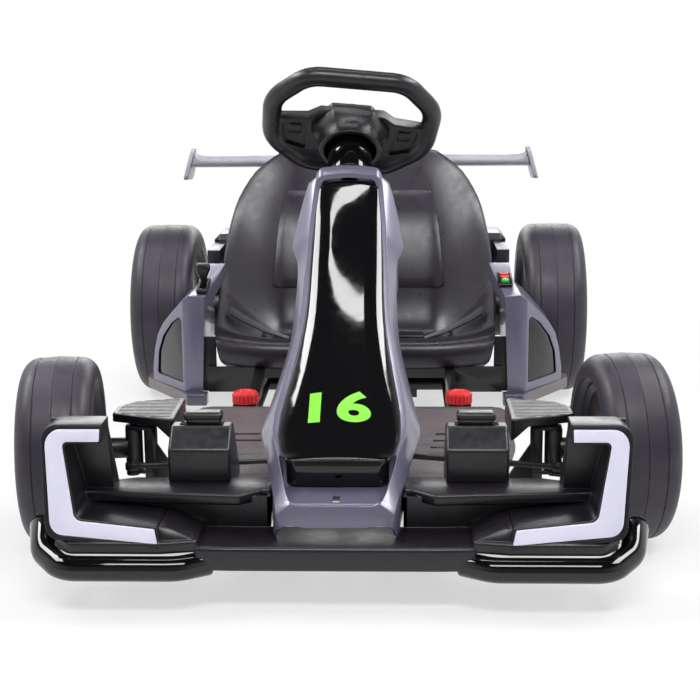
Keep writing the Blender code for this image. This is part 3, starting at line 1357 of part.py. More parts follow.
def rear_cover(rear):
    """The engine-style cover over the hoop, with side arms and louvre lines."""
    item = add("rear_cover", box((-0.30, 0.020, COVER_BOTTOM), (COVER_HALF, 0.125, COVER_TOP)), rear, cover_navy())
    bevel(item, 0.010, 1)
    arm = box((COVER_HALF - 0.0225, -0.080, COVER_BOTTOM + 0.002), (COVER_HALF - 0.0015, 0.0215, COVER_TOP - 0.014))
    hollow = box((-0.30, 0.020 + COVER_WALL, COVER_BOTTOM - 0.02),
                 (COVER_HALF - COVER_WALL, 0.125 - COVER_WALL, COVER_TOP - COVER_WALL))
    cut(item, bevel(tool(hollow, rear), 0.0088, 1))
    join(item, tool(arm, rear))
    louvres = [box((COVER_HALF - 0.0025, -0.070, COVER_BOTTOM + 0.008 + 0.010 * i),
                   (COVER_HALF + 0.01, 0.008, COVER_BOTTOM + 0.0115 + 0.010 * i)) for i in range(4)]
    cut(item, *(tool(mesh, rear) for mesh in louvres))
    return mirror(item)


def endplate_x(z):
    """The middle of the slanted end plate at one height."""
    return 0.307 + (0.428 - z) * 0.26


def wing_blade(rear):
    """An upside-down aerofoil between the end plates."""
    section = []
    for i in range(12):
        angle = 2 * math.pi * i / 12
        share = (1 - math.cos(angle)) / 2
        thick = WING_THICKNESS * (share ** 0.5) * (1 - share) * 1.3 + 0.0012
        y = WING_Y - WING_CHORD / 2 + WING_CHORD * share
        middle = WING_Z + WING_THICKNESS / 2 + 0.004 * share
        z = middle + thick * (1 if math.sin(angle) > 0 else -1) * (0 if i in (0, 6) else 1)
        section.append((y, z))
    right = [(endplate_x(z) - 0.0025 - SEAT_GAP, y, z) for y, z in section]
    left = [(-x, y, z) for x, y, z in right]
    return add("wing_blade", loft([left, right]), rear, wing_grey())


def endplate(side_name, side, rear):
    outline = rounded([(WING_Y - 0.045, 0.370, 0.006), (WING_Y + 0.040, 0.363, 0.010),
                       (WING_Y + 0.043, 0.420, 0.008), (WING_Y - 0.030, 0.428, 0.010)], 2)
    mesh = profile_across(outline, -0.0025, 0.0025)
    shear = Matrix.Identity(4)
    shear[0][2] = -0.26
    shear[0][3] = endplate_x(0.0)
    mesh.transform(shear)
    return add(side_name + "_endplate", sided(mesh, side), rear, wing_grey())


def wing_bracket(rear):
    """A foot on the cover with two fins up to the blade."""
    base_low = COVER_TOP + SEAT_GAP
    top = WING_Z - SEAT_GAP
    item = add("wing_bracket", box((-0.02, 0.086, base_low), (0.075, 0.114, base_low + 0.006)), rear, cover_navy())
    fin = profile_across([(0.090, base_low + 0.003), (0.112, base_low + 0.003), (WING_Y + 0.016, top),
                          (WING_Y - 0.016, top)], 0.058, 0.064)
    join(item, tool(fin, rear))
    return mirror(item)


# The whole kart

def build():
    front = frame_empty("front_axle_frame", (0, FRONT_AXLE_Y, 0))
    rear = frame_empty("rear_axle_frame", (0, REAR_AXLE_Y, 0))
    column = frame_empty("column_frame", COLUMN_FOOT, front, column_turn())
    handwheel_turn = column_turn(PARKED_HANDWHEEL)
    handwheel = frame_empty("steering_frame", along_column(COLUMN_LENGTH), front, handwheel_turn)

    front_frame(front)
    floor_plate(front)
    front_bumper(front)
    nose_cover(front)
    nose_panel(front)
    nose_band(front)
    column_collar(column)
    steering_shaft(handwheel)
    steering_wheel(handwheel)
    hub_cover(handwheel)
    hub_pad(handwheel)
    handwheel_matrix = Matrix.Translation(along_column(COLUMN_LENGTH)) @ handwheel_turn
    for side_name, side in SIDES:
        light(side_name, side, front)
        guard_tube(side_name, side, front)
        arm_cover(side_name, side, front)
        pedal_housing(side_name, side, front)
        pivot = knuckle(side_name, side, front)
        tie_rod(side_name, side, pivot, handwheel_matrix)
        front_wheel("front_" + side_name, side, pivot)
    pedal("accelerator_pedal", -1, front)
    pedal("brake_pedal", 1, front)

    rear_frame(rear)
    rear_axle(rear)
    battery(rear)
    seat_shell(rear)
    lap_belt(rear)
    belt_buckle(rear)
    rear_cover(rear)
    wing_blade(rear)
    wing_bracket(rear)
    for side_name, side in SIDES:
        motor(side_name, side, rear)
        clamp_knob(side_name, side, rear)
        rear_wheel("rear_" + side_name, side, rear)
        pod_shell(side_name, side, rear)
        pod_window(side_name, side, rear)
        pod_sill(side_name, side, rear)
        endplate(side_name, side, rear)
    drive_lever(lever_gate(rear))
    panel_spot = control_panel(rear)
    power_button(panel_spot)
    rocker("speed_rocker", PANEL_SPOTS[1], panel_spot)
    rocker("direction_rocker", PANEL_SPOTS[2], panel_spot)
    bpy.context.view_layer.update()


clear_scene()
PARTS = new_collection("drift_kart")
TOOLS = new_collection("cutters")
build()
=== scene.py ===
"""Looks of the children's electric go-kart: an add-on that is run as a script."""
import json
import math

import bpy
from bpy.props import FloatProperty, FloatVectorProperty, PointerProperty
from mathutils import Matrix, Vector

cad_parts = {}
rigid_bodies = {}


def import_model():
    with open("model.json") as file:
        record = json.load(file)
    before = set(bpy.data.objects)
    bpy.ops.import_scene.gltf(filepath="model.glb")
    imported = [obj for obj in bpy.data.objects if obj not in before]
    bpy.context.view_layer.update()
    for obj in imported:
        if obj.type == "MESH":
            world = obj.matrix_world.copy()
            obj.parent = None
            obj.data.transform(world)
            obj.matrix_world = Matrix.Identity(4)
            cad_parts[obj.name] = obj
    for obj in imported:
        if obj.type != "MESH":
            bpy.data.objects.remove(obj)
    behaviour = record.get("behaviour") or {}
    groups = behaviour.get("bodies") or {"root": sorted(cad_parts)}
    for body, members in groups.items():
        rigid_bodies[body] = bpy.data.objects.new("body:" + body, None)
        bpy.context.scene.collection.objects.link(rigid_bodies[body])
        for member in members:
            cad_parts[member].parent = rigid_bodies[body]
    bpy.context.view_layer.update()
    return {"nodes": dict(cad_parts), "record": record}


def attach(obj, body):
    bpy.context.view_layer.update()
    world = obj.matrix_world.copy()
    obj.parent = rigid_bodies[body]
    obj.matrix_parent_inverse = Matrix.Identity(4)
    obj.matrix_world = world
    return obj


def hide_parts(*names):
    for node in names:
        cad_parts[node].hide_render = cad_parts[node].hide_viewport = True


bl_info = {
    "name": "Electric go-kart",
    "version": (1, 0, 0),
    "blender": (4, 5, 0),
    "location": "3D View > Sidebar > Go-kart",
    "description": "Dresses the go-kart's solids with modelled shells and procedural finishes",
    "category": "Object",
}

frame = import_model()

FRONT_AXLE_Y = -0.345
REAR_AXLE_Y = 0.435
KINGPIN_X = 0.262
PARKED_STEER = math.radians(6.3)
PARKED_HANDWHEEL = math.radians(7.6)
SIDES = (("left", -1), ("right", 1))
COLUMN_TILT = math.radians(46.0)
COLUMN_FOOT = Vector((0, -0.008, 0.0825))
COLUMN_LENGTH = 0.5756
FRONT = Matrix.Translation((0, FRONT_AXLE_Y, 0))
REAR = Matrix.Translation((0, REAR_AXLE_Y, 0))
MIRROR_X = Matrix.Scale(-1, 4, (1, 0, 0))

# Modelling: the plane a corner is merged from, the distances at which corners count as one, the
# angle in degrees below which facets count as flat, and the angle that shading adds to a bevel's

SEED_SIZE = 0.001
SAME_SPOT = 0.000001
SEAM_GAP = 0.000005
FACET_ANGLE = 0.5
SHADE_MARGIN = 5


# Modelling by hand: every helper works on the active object and leaves it active

def edit(on):
    """Enter or leave edit mode."""
    wanted = "EDIT" if on else "OBJECT"
    if bpy.context.mode.startswith("EDIT") != on:
        bpy.ops.object.mode_set(mode=wanted)


def corner(point):
    """A single corner, in a new object or in the mesh that is being edited."""
    selecting = bpy.ops.object if bpy.context.mode == "OBJECT" else bpy.ops.mesh
    selecting.select_all(action="DESELECT")
    bpy.ops.mesh.primitive_plane_add(size=SEED_SIZE, location=(0, 0, 0))
    edit(True)
    bpy.ops.mesh.merge(type="CENTER")
    bpy.ops.transform.translate(value=point)


def trace(points, closed=False):
    """A chain of edges drawn from corner to corner by extruding."""
    points = [Vector(p) for p in points]
    corner(points[0])
    if closed:
        points.append(points[0])
    for start, end in zip(points, points[1:]):
        bpy.ops.mesh.extrude_region_move(TRANSFORM_OT_translate={"value": end - start})
    if closed:
        bpy.ops.mesh.select_linked()
        bpy.ops.mesh.remove_doubles(threshold=SAME_SPOT)


def outward():
    """Turn all faces outwards after the seams are merged."""
    bpy.ops.mesh.select_all(action="SELECT")
    bpy.ops.mesh.remove_doubles(threshold=SEAM_GAP)
    bpy.ops.mesh.normals_make_consistent(inside=False)


def skin(sections, closed=True):
    """A surface bridged over section after section; closed sections get caps at both ends."""
    for section in sections:
        trace(section, closed)
    bpy.ops.mesh.select_all(action="SELECT")
    bpy.ops.mesh.bridge_edge_loops(type="SINGLE")
    if closed:
        bpy.ops.mesh.select_all(action="DESELECT")
        bpy.ops.mesh.select_non_manifold()
        bpy.ops.mesh.fill_holes(sides=0)
    outward()
    edit(False)
    return bpy.context.active_object


def prism(outline, depth):
    """A plate drawn as an outline, filled and extruded."""
    trace(outline, closed=True)
    bpy.ops.mesh.edge_face_add()
    bpy.ops.mesh.extrude_region_move(TRANSFORM_OT_translate={"value": depth})
    outward()
    edit(False)
    return bpy.context.active_object


def flat_prism(outline, low, high):
    """A plate with a plan outline between two heights."""
    return prism([(x, y, low) for x, y in outline], (0, 0, high - low))


def side_prism(outline, half):
    """A plate with an outline seen from the side, as wide as twice the half-width."""
    return prism([(-half, y, z) for y, z in outline], (2 * half, 0, 0))


def lathe(profile, steps, closed=False):
    """A turned body: the section is spun a full turn about the Z axis."""
    trace(profile, closed)
    bpy.ops.mesh.select_all(action="SELECT")
    bpy.ops.mesh.spin(steps=steps, angle=math.tau, center=(0, 0, 0), axis=(0, 0, 1))
    outward()
    edit(False)
    return bpy.context.active_object


def rod(start, end, radius, sides):
    """A round bar between two points, from a primitive with its ends rounded."""
    start, end = Vector(start), Vector(end)
    run = end - start
    bpy.ops.object.select_all(action="DESELECT")
    bpy.ops.mesh.primitive_cone_add(vertices=sides, radius1=radius, radius2=radius, depth=run.length)
    turn = run.to_track_quat("Z", "Y").to_matrix().to_4x4()
    place(bpy.context.active_object, Matrix.Translation((start + end) / 2) @ turn)
    softened(min(radius * 0.12, 0.0012), 2, 60)
    return bpy.context.active_object


def block(low, high, rounding=0.0, segments=2):
    """A box between two corners; where a rounding is asked for, its edges are rounded."""
    low, high = Vector(low), Vector(high)
    bpy.ops.object.select_all(action="DESELECT")
    bpy.ops.mesh.primitive_cube_add(size=1, location=(low + high) / 2, scale=high - low)
    settle()
    if rounding:
        modify("BEVEL", width=rounding, segments=segments)
    return bpy.context.active_object


def tube(points, radius, resolution, closed=False):
    """A round tube along a traced path, through a curve with a round bevel."""
    trace(points, closed)
    edit(False)
    bpy.ops.object.convert(target="CURVE")
    curve = bpy.context.active_object.data
    curve.bevel_depth = radius
    curve.bevel_resolution = resolution
    curve.use_fill_caps = not closed
    bpy.ops.object.convert(target="MESH")
    edit(True)
    outward()
    edit(False)
    return bpy.context.active_object


def modify(kind, **settings):
    """Add a modifier to the active object and apply it."""
    bpy.ops.object.modifier_add(type=kind)
    modifier = bpy.context.active_object.modifiers[-1]
    for key, value in settings.items():
        setattr(modifier, key, value)
    bpy.ops.object.modifier_apply(modifier=modifier.name)


def softened(width, segments=2, angle=40):
    """Round the active piece's edges that are sharper than the angle in degrees."""
    modify("BEVEL", width=width, segments=segments, limit_method="ANGLE", angle_limit=math.radians(angle))


def settle():
    """Put the active object's place, turn and size into its mesh."""
    bpy.ops.object.transform_apply(location=True, rotation=True, scale=True)


def place(piece, matrix):
    """Move a piece by a matrix and put the move into its mesh."""
    focus(piece)
    piece.matrix_world = matrix @ piece.matrix_world
    settle()
    if matrix.determinant() < 0:
        edit(True)
        bpy.ops.mesh.select_all(action="SELECT")
        bpy.ops.mesh.normals_make_consistent(inside=False)
        edit(False)
    return piece


def focus(*pieces):
    """Select only these pieces and make the first one active."""
    edit(False)
    bpy.ops.object.select_all(action="DESELECT")
    for piece in pieces:
        piece.select_set(True)
    bpy.context.view_layer.objects.active = pieces[0]


def joined(*pieces):
    """The pieces as one object."""
    focus(*pieces)
    if len(pieces) > 1:
        bpy.ops.object.join()
    return pieces[0]


def copied(piece, matrix=None):
    """A copy with its own mesh, moved by the matrix."""
    focus(piece)
    bpy.ops.object.duplicate(linked=False)
    other = bpy.context.active_object
    return place(other, matrix) if matrix else other


def carved(piece, *tools, operation="DIFFERENCE"):
    """Cut the tools out of a piece, fuse them with it or keep what they share, and delete them."""
    for tool in tools:
        focus(piece)
        modify("BOOLEAN", operation=operation, object=tool, solver="EXACT")
        focus(tool)
        bpy.ops.object.delete()
    focus(piece)
    return piece


def dress(piece, name, body, finish, nodes=(), angle=40):
    """Name a finished piece, shade it, give it its finish, hang it on the body it rides on and hide the
    solids it stands for.
    """
    focus(piece)
    settle()
    bpy.ops.object.shade_smooth_by_angle(angle=math.radians(angle))
    piece.name = piece.data.name = name
    piece.data.materials.clear()
    piece.data.materials.append(FINISHES[finish])
    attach(piece, body)
    if nodes:
        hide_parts(*nodes)
    return piece


def refined(node, name, finish, rounding, segments=2, angle=35):
    """A CAD solid's shape; where a rounding is asked for, its facets are merged and its edges rounded."""
    bodies = frame["record"]["behaviour"]["bodies"]
    body = next(key for key, members in bodies.items() if node in members)
    shape = copied(frame["nodes"][node])
    edit(True)
    outward()
    if rounding:
        bpy.ops.mesh.dissolve_limited(angle_limit=math.radians(FACET_ANGLE))
    edit(False)
    if rounding:
        softened(rounding, segments, angle)
    return dress(shape, name, body, finish, [node], angle + SHADE_MARGIN)


def sided(base, side):
    """The base axes for the right side, or their mirror image for the left."""
    return base if side > 0 else base @ MIRROR_X


def both(piece):
    """The piece with its mirror image, as one object."""
    return joined(piece, copied(piece, MIRROR_X))


def mirrored(half):
    """The corners of one half, then their mirror images backwards; a corner in the middle comes once."""
    return [*half, *((-x, *rest) for x, *rest in reversed(half) if x)]


def arc(centre, radius, start, end, steps):
    """Points on an arc in a plane, angles in degrees."""
    turns = [math.radians(start + (end - start) * i / steps) for i in range(steps + 1)]
    return [(centre[0] + radius * math.cos(a), centre[1] + radius * math.sin(a)) for a in turns]


def rounded(corners, steps):
    """A closed outline whose (x, y, radius) corners are rounded."""
    outline = []
    for index, (x, y, radius) in enumerate(corners):
        here = Vector((x, y))
        if radius <= 0:
            outline.append((x, y))
            continue
        before = (Vector(corners[index - 1][:2]) - here).normalized()
        after = (Vector(corners[(index + 1) % len(corners)][:2]) - here).normalized()
        half = before.angle(after) / 2
        reach = radius / math.tan(half)
        centre = here + (before + after).normalized() * radius / math.sin(half)
        first = here + before * reach - centre
        sweep = first.angle_signed(here + after * reach - centre)
        for step in range(steps + 1):
            turn = Matrix.Rotation(-sweep * step / steps, 2)
            outline.append(tuple(centre + turn @ first))
    return outline


def eased(rows, per):
    """Rows of numbers joined by smooth curves, with the given number of steps between neighbours."""
    filled = []
    for i in range(len(rows) - 1):
        near = (rows[max(i - 1, 0)], rows[i], rows[i + 1], rows[min(i + 2, len(rows) - 1)])
        for t in (step / per for step in range(per)):
            filled.append(tuple(0.5 * (2 * b + (c - a) * t + (2 * a - 5 * b + 4 * c - d) * t * t
                                       + (3 * b - a - 3 * c + d) * t ** 3) for a, b, c, d in zip(*near)))
    return filled + [tuple(rows[-1])]


def column_matrix(distance, angle=0.0):
    """Axes at a distance up the steering column: Z towards the driver, Y up the wheel."""
    spot = COLUMN_FOOT + Vector((0, math.cos(COLUMN_TILT), math.sin(COLUMN_TILT))) * distance
    tilt = Matrix.Rotation(COLUMN_TILT - math.pi / 2, 4, "X")
    return FRONT @ Matrix.Translation(spot) @ tilt @ Matrix.Rotation(math.pi + angle, 4, "Z")


# Finishes: each starts from the real material and how its surface was made

GRAIN_STRENGTH = 0.6
EDGE_SAMPLES = 6


def linear(code):
    """An sRGB hex value as linear red, green, blue and alpha."""
    channels = [int(code[i:i + 2], 16) / 255 for i in (1, 3, 5)]
    return (*(c / 12.92 if c <= 0.04045 else ((c + 0.055) / 1.055) ** 2.4 for c in channels), 1.0)


def shade(colour, factor):
    """A lighter or darker tone of a colour."""
    return (*(min(1.0, c * factor) for c in colour[:3]), 1.0)


def add_node(tree, kind, links=None, **settings):
    """Add a node, set its own settings, and fill its sockets with values or links."""
    node = tree.nodes.new(kind)
    for key, value in settings.items():
        setattr(node, key, value)
    for socket, source in (links or {}).items():
        if isinstance(source, bpy.types.NodeSocket):
            tree.links.new(source, node.inputs[socket])
        else:
            node.inputs[socket].default_value = source
    return node


def blank(name):
    """A material with an empty tree, and the object coordinates that its patterns follow."""
    made = bpy.data.materials.new(name)
    made.use_nodes = True
    made.node_tree.nodes.clear()
    coordinates = add_node(made.node_tree, "ShaderNodeTexCoord")
    return made, made.node_tree, coordinates.outputs["Object"]


def surfaced(made, tree, **sockets):
    """Finish a tree with its shader; words stand for socket names."""
    links = {key.replace("_", " "): value for key, value in sockets.items()}
    shader = add_node(tree, "ShaderNodeBsdfPrincipled", links)
    add_node(tree, "ShaderNodeOutputMaterial", {"Surface": shader.outputs["BSDF"]})
    made.diffuse_color = tuple(shader.inputs["Base Color"].default_value)
    return made


def toned(tree, spot, colour, size, dark, light, low=0.3, high=0.7, detail=3.0):
    """A colour that drifts from a dark to a light tone over patches of the size in millimetres."""
    cloud = add_node(tree, "ShaderNodeTexNoise", {"Vector": spot, "Scale": 1000 / size, "Detail": detail})
    ramp = add_node(tree, "ShaderNodeValToRGB", {"Fac": cloud.outputs["Fac"]})
    for stop, position, factor in zip(ramp.color_ramp.elements, (low, high), (dark, light)):
        stop.position = position
        stop.color = shade(colour, factor)
    return ramp.outputs["Color"]


def roughened(tree, spot, size, low, high):
    """A roughness between two values in patches of the size in millimetres."""
    cloud = add_node(tree, "ShaderNodeTexNoise", {"Vector": spot, "Scale": 1000 / size, "Detail": 4.0})
    spread = add_node(tree, "ShaderNodeMapRange", {"Value": cloud.outputs["Fac"], "From Min": 0.3,
                                                   "From Max": 0.7, "To Min": low, "To Max": high})
    return spread.outputs["Result"]


def pitted(tree, spot, size, depth, rounding):
    """A normal with a grain over edges that look rounded: size, depth and radius in millimetres."""
    edge = add_node(tree, "ShaderNodeBevel", {"Radius": rounding / 1000}, samples=EDGE_SAMPLES)
    grain = add_node(tree, "ShaderNodeTexNoise", {"Vector": spot, "Scale": 1000 / size, "Detail": 2.0})
    bump = add_node(tree, "ShaderNodeBump", {"Height": grain.outputs["Fac"], "Distance": depth / 1000,
                                             "Strength": GRAIN_STRENGTH, "Normal": edge.outputs["Normal"]})
    return bump.outputs["Normal"]


def even(name, colour, tone, roughness, grain, **sockets):
    """A material of one substance, from the measures that toned, roughened and pitted ask for."""
    made, tree, spot = blank(name)
    return surfaced(made, tree, Base_Color=toned(tree, spot, colour, *tone),
                    Roughness=roughened(tree, spot, *roughness), Normal=pitted(tree, spot, *grain),
                    **sockets)


def moulded_abs(colour, name):
    """ABS from a spark-eroded mould: an even fine grain that spreads highlights to a soft sheen."""
    return even(name, colour, tone=(45, 0.90, 1.10), roughness=(9, 0.28, 0.38),
                grain=(1.1, 0.10, 1.2), IOR=1.53)


def painted_abs(colour):
    """Anthracite paint with a clear coat on moulded ABS: soft flake under a satin gloss."""
    made, tree, spot = blank("Painted ABS, satin clear coat")
    flake = add_node(tree, "ShaderNodeTexVoronoi", {"Vector": spot, "Scale": 1000 / 0.7})
    ramp = add_node(tree, "ShaderNodeValToRGB", {"Fac": flake.outputs["Color"]})
    ramp.color_ramp.elements[0].color = shade(colour, 0.88)
    ramp.color_ramp.elements[1].color = shade(colour, 1.14)
    return surfaced(made, tree, Base_Color=ramp.outputs["Color"], Metallic=0.25,
                    Roughness=roughened(tree, spot, 25, 0.28, 0.36), Coat_Weight=0.45,
                    Coat_Roughness=0.12, IOR=1.5, Normal=pitted(tree, spot, 3.0, 0.03, 1.0))


def polished_abs(colour):
    """Polished high-gloss ABS, as on a piano-black trim: sharp reflections over a faint moulding wave."""
    return even("ABS, high-gloss polished", colour, tone=(60, 0.95, 1.05), roughness=(14, 0.035, 0.075),
                grain=(60.0, 0.25, 1.2), IOR=1.53)


def seat_polypropylene(colour):
    """Satin polypropylene from a leather-grained mould: soft highlights over a fine grain."""
    return even("Polypropylene, leather grain", colour, tone=(60, 0.92, 1.08), roughness=(12, 0.27, 0.36),
                grain=(2.2, 0.08, 1.0), IOR=1.52)


def tyre_rubber(colour):
    """Smooth moulded EVA rubber: matte, faintly bluish, with flow marks and a little dust."""
    return even("EVA rubber, moulded tyre", colour, tone=(28, 0.9, 1.35, 0.42, 0.75, 6.0),
                roughness=(7, 0.40, 0.54), grain=(1.6, 0.08, 0.8), IOR=1.5)


def powder_coat(colour):
    """Powder coat on steel tube: a low orange peel that breaks up the highlights."""
    return even("Steel, powder coated", colour, tone=(50, 0.95, 1.05), roughness=(10, 0.30, 0.42),
                grain=(2.4, 0.08, 0.8), IOR=1.5)


def textured_sheet(colour):
    """Floor sheet with a wrinkle texture coat: rough, dull, slightly worn where shoes rub."""
    made, tree, spot = blank("Steel sheet, wrinkle texture coat")
    grain = add_node(tree, "ShaderNodeTexVoronoi", {"Vector": spot, "Scale": 1000 / 2.5})
    bump = add_node(tree, "ShaderNodeBump", {"Height": grain.outputs["Distance"], "Distance": 0.0004,
                                             "Strength": 0.7})
    return surfaced(made, tree, Base_Color=toned(tree, spot, colour, 90, 0.85, 1.25, 0.35, 0.72, 5.0),
                    Roughness=roughened(tree, spot, 6, 0.50, 0.68), Normal=bump.outputs["Normal"])


def lit_lens(colour):
    """Diffusing acrylic lens: milky white with a soft gloss and fine flutes inside."""
    made, tree, spot = blank("Acrylic, diffusing lens")
    flutes = add_node(tree, "ShaderNodeTexWave", {"Vector": spot, "Scale": 1000 / 9}, bands_direction="X")
    bump = add_node(tree, "ShaderNodeBump", {"Height": flutes.outputs["Fac"], "Distance": 0.0002,
                                             "Strength": 0.15})
    return surfaced(made, tree, Base_Color=toned(tree, spot, colour, 30, 0.98, 1.02),
                    Roughness=roughened(tree, spot, 12, 0.18, 0.26), IOR=1.49,
                    Subsurface_Weight=0.25, Subsurface_Radius=(0.01, 0.01, 0.01), Subsurface_Scale=0.5,
                    Normal=bump.outputs["Normal"])


def zinc_plate(colour):
    """Turned steel with bright zinc plating: metallic, with fine turning marks."""
    return even("Steel, turned and zinc plated", colour, tone=(8, 0.94, 1.06), roughness=(4, 0.22, 0.36),
                grain=(0.8, 0.05, 0.5), Metallic=1.0)


def bright_plastic(colour, name):
    """Coloured nylon, ABS or vinyl film for knobs, switches and the number: clean, half gloss."""
    return even(name, colour, tone=(12, 0.94, 1.06), roughness=(5, 0.26, 0.36),
                grain=(1.5, 0.05, 0.6), IOR=1.53)


def webbing(colour):
    """Woven polyester belt: crossed ribs of warp and weft that repeat every 3.8 mm."""
    made, tree, spot = blank("Polyester webbing, woven")
    warp, weft = (add_node(tree, "ShaderNodeTexWave", {"Vector": spot, "Scale": 1000 / 12,
                                                       "Distortion": 0.5}, bands_direction=axis)
                  for axis in "YX")
    weave = add_node(tree, "ShaderNodeMath", {0: warp.outputs["Fac"], 1: weft.outputs["Fac"]},
                     operation="MULTIPLY")
    bump = add_node(tree, "ShaderNodeBump", {"Height": weave.outputs["Value"], "Distance": 0.0004,
                                             "Strength": 0.8})
    return surfaced(made, tree, Base_Color=toned(tree, spot, colour, 4, 0.75, 1.25),
                    Roughness=roughened(tree, spot, 3, 0.70, 0.85), Sheen_Weight=0.3,
                    Sheen_Roughness=0.5, Normal=bump.outputs["Normal"])


FINISHES = {}


def mix_finishes(colours):
    """Make every finish once, from the colours that the panel shows."""
    FINISHES.update({
        "moulded_black": moulded_abs(colours.moulded, "ABS, spark-eroded mould grain"),
        "gloss_black": polished_abs(colours.gloss),
        "fairing_grey": painted_abs(colours.fairing),
        "fairing_dark": painted_abs(shade(colours.fairing, 0.55)),
        "seat_black": seat_polypropylene(colours.seat),
        "floor_grey": textured_sheet(colours.floor),
        "lens_white": lit_lens(colours.lens),
        "tyre_black": tyre_rubber(colours.tyre),
        "frame_steel": powder_coat(colours.frame),
        "bright_steel": zinc_plate(colours.zinc),
        "knob_red": bright_plastic(colours.red, "Nylon, red, moulded"),
        "wing_grey": moulded_abs(colours.wing, "ABS, light grey, moulded"),
        "cover_navy": moulded_abs(colours.cover, "ABS, blue-black, moulded"),
        "sill_brown": moulded_abs(colours.sill, "ABS, brown-grey, moulded"),
        "belt_black": webbing(colours.belt),
        "button_green": bright_plastic(colours.green, "ABS, green, moulded"),
        "number_green": bright_plastic(colours.number, "Vinyl film, screen printed"),
    })


# Sizes and colours that a user may change

def colour(name, description, code):
    """A colour property with an sRGB default."""
    return FloatVectorProperty(name=name, description=description, subtype="COLOR", size=4,
                               min=0.0, max=1.0, default=linear(code))


def length(name, description, millimetres):
    """A length property whose default is given in millimetres."""
    return FloatProperty(name=name, description=description, subtype="DISTANCE", unit="LENGTH",
                         min=0.0, default=millimetres / 1000)


class KartColours(bpy.types.PropertyGroup):
    """Colours of the finishes."""
    moulded: colour("Moulded black", "Bumper, housings and steering wheel", "#130f16")
    gloss: colour("Gloss black", "Nose panel, guard tubes and pod windows", "#070608")
    fairing: colour("Fairing grey", "Nose fairing and side pods", "#6a687c")
    seat: colour("Seat", "Bucket seat", "#201b26")
    floor: colour("Floor plate", "Foot plate coat", "#5a5256")
    lens: colour("Lens", "Front light lenses", "#dfddf0")
    tyre: colour("Tyre", "Tyre rubber", "#2e2934")
    frame: colour("Frame", "Frame tubes and linkage", "#141216")
    zinc: colour("Zinc", "Axle and fasteners", "#c9c9c6")
    red: colour("Red", "Clamp knobs and rocker switches", "#dc2f33")
    wing: colour("Wing", "Rear wing and end plates", "#a4a1ad")
    cover: colour("Rear cover", "Rear cover and wing bracket", "#242330")
    sill: colour("Sill", "Ledge under the side pods", "#6a5f63")
    belt: colour("Belt", "Lap belt webbing", "#121114")
    green: colour("Green", "Power button", "#35c24a")
    number: colour("Number", "Printed racing number", "#7ddc3a")


class KartSizes(bpy.types.PropertyGroup):
    """Sizes of the modelled details."""
    tread_seam: length("Tread seam", "Width of the mould seam round the tyres", 1.4)
    seat_wall: length("Seat wall", "Wall thickness of the bucket", 5.0)
    rib_round: length("Rib rounding", "Rounding of the ribs in the wheel rims", 1.2)
    digit_height: length("Digit height", "Height of the racing number", 58.0)


# Stage: the floor fades from paper to plain white between two distances from the kart

FLOOR_SIZE = 14
FLOOR_SPOT = (0, 1.0, -0.0005)
FLOOR_CUTS = 6
PAPER = "#e9e9ea"
FADE_NEAR = 0.45
FADE_FAR = 1.30
FADE_START = 0.60

# The surround is white for the camera. Reflections see it darken between two heights of the
# direction, up to the ceiling, and dimmed in front; soft light gets the share named last.

CEILING_LOW = 0.35
CEILING_HIGH = 0.75
CEILING_LEVEL = 0.06
FRONT_FAR = -0.90
FRONT_NEAR = -0.15
FRONT_LEVEL = 0.30
SOFT_LEVEL = 0.55

CAMERA_SPOT = (0.0692, -2.0001, 0.6077)
CAMERA_YAW = 0.0357
CAMERA_PITCH = 0.2173
CAMERA_ROLL = -0.0085
CAMERA_LENS = 70.857
SENSOR_WIDTH = 36.0
CLIP_START = 0.05

# Name, place, target, width, height and power in watts of each lamp

LAMPS = (
    ("right_strip", (1.55, 0.2, 2.0), (0, -0.1, 0.3), 1.9, 0.55, 40),
    ("left_strip", (-1.55, 0.2, 2.0), (0, -0.1, 0.3), 1.9, 0.55, 40),
    ("seat_softbox", (0.1, -1.7, 2.2), (0, 0.2, 0.3), 1.8, 0.5, 38),
    ("overhead_lamp", (-0.08, 0.25, 2.4), (0, -0.13, 0.3), 1.3, 0.15, 8),
    ("rear_softbox", (0.0, 3.0, 1.2), (0, 0.2, 0.2), 3.0, 0.9, 40))


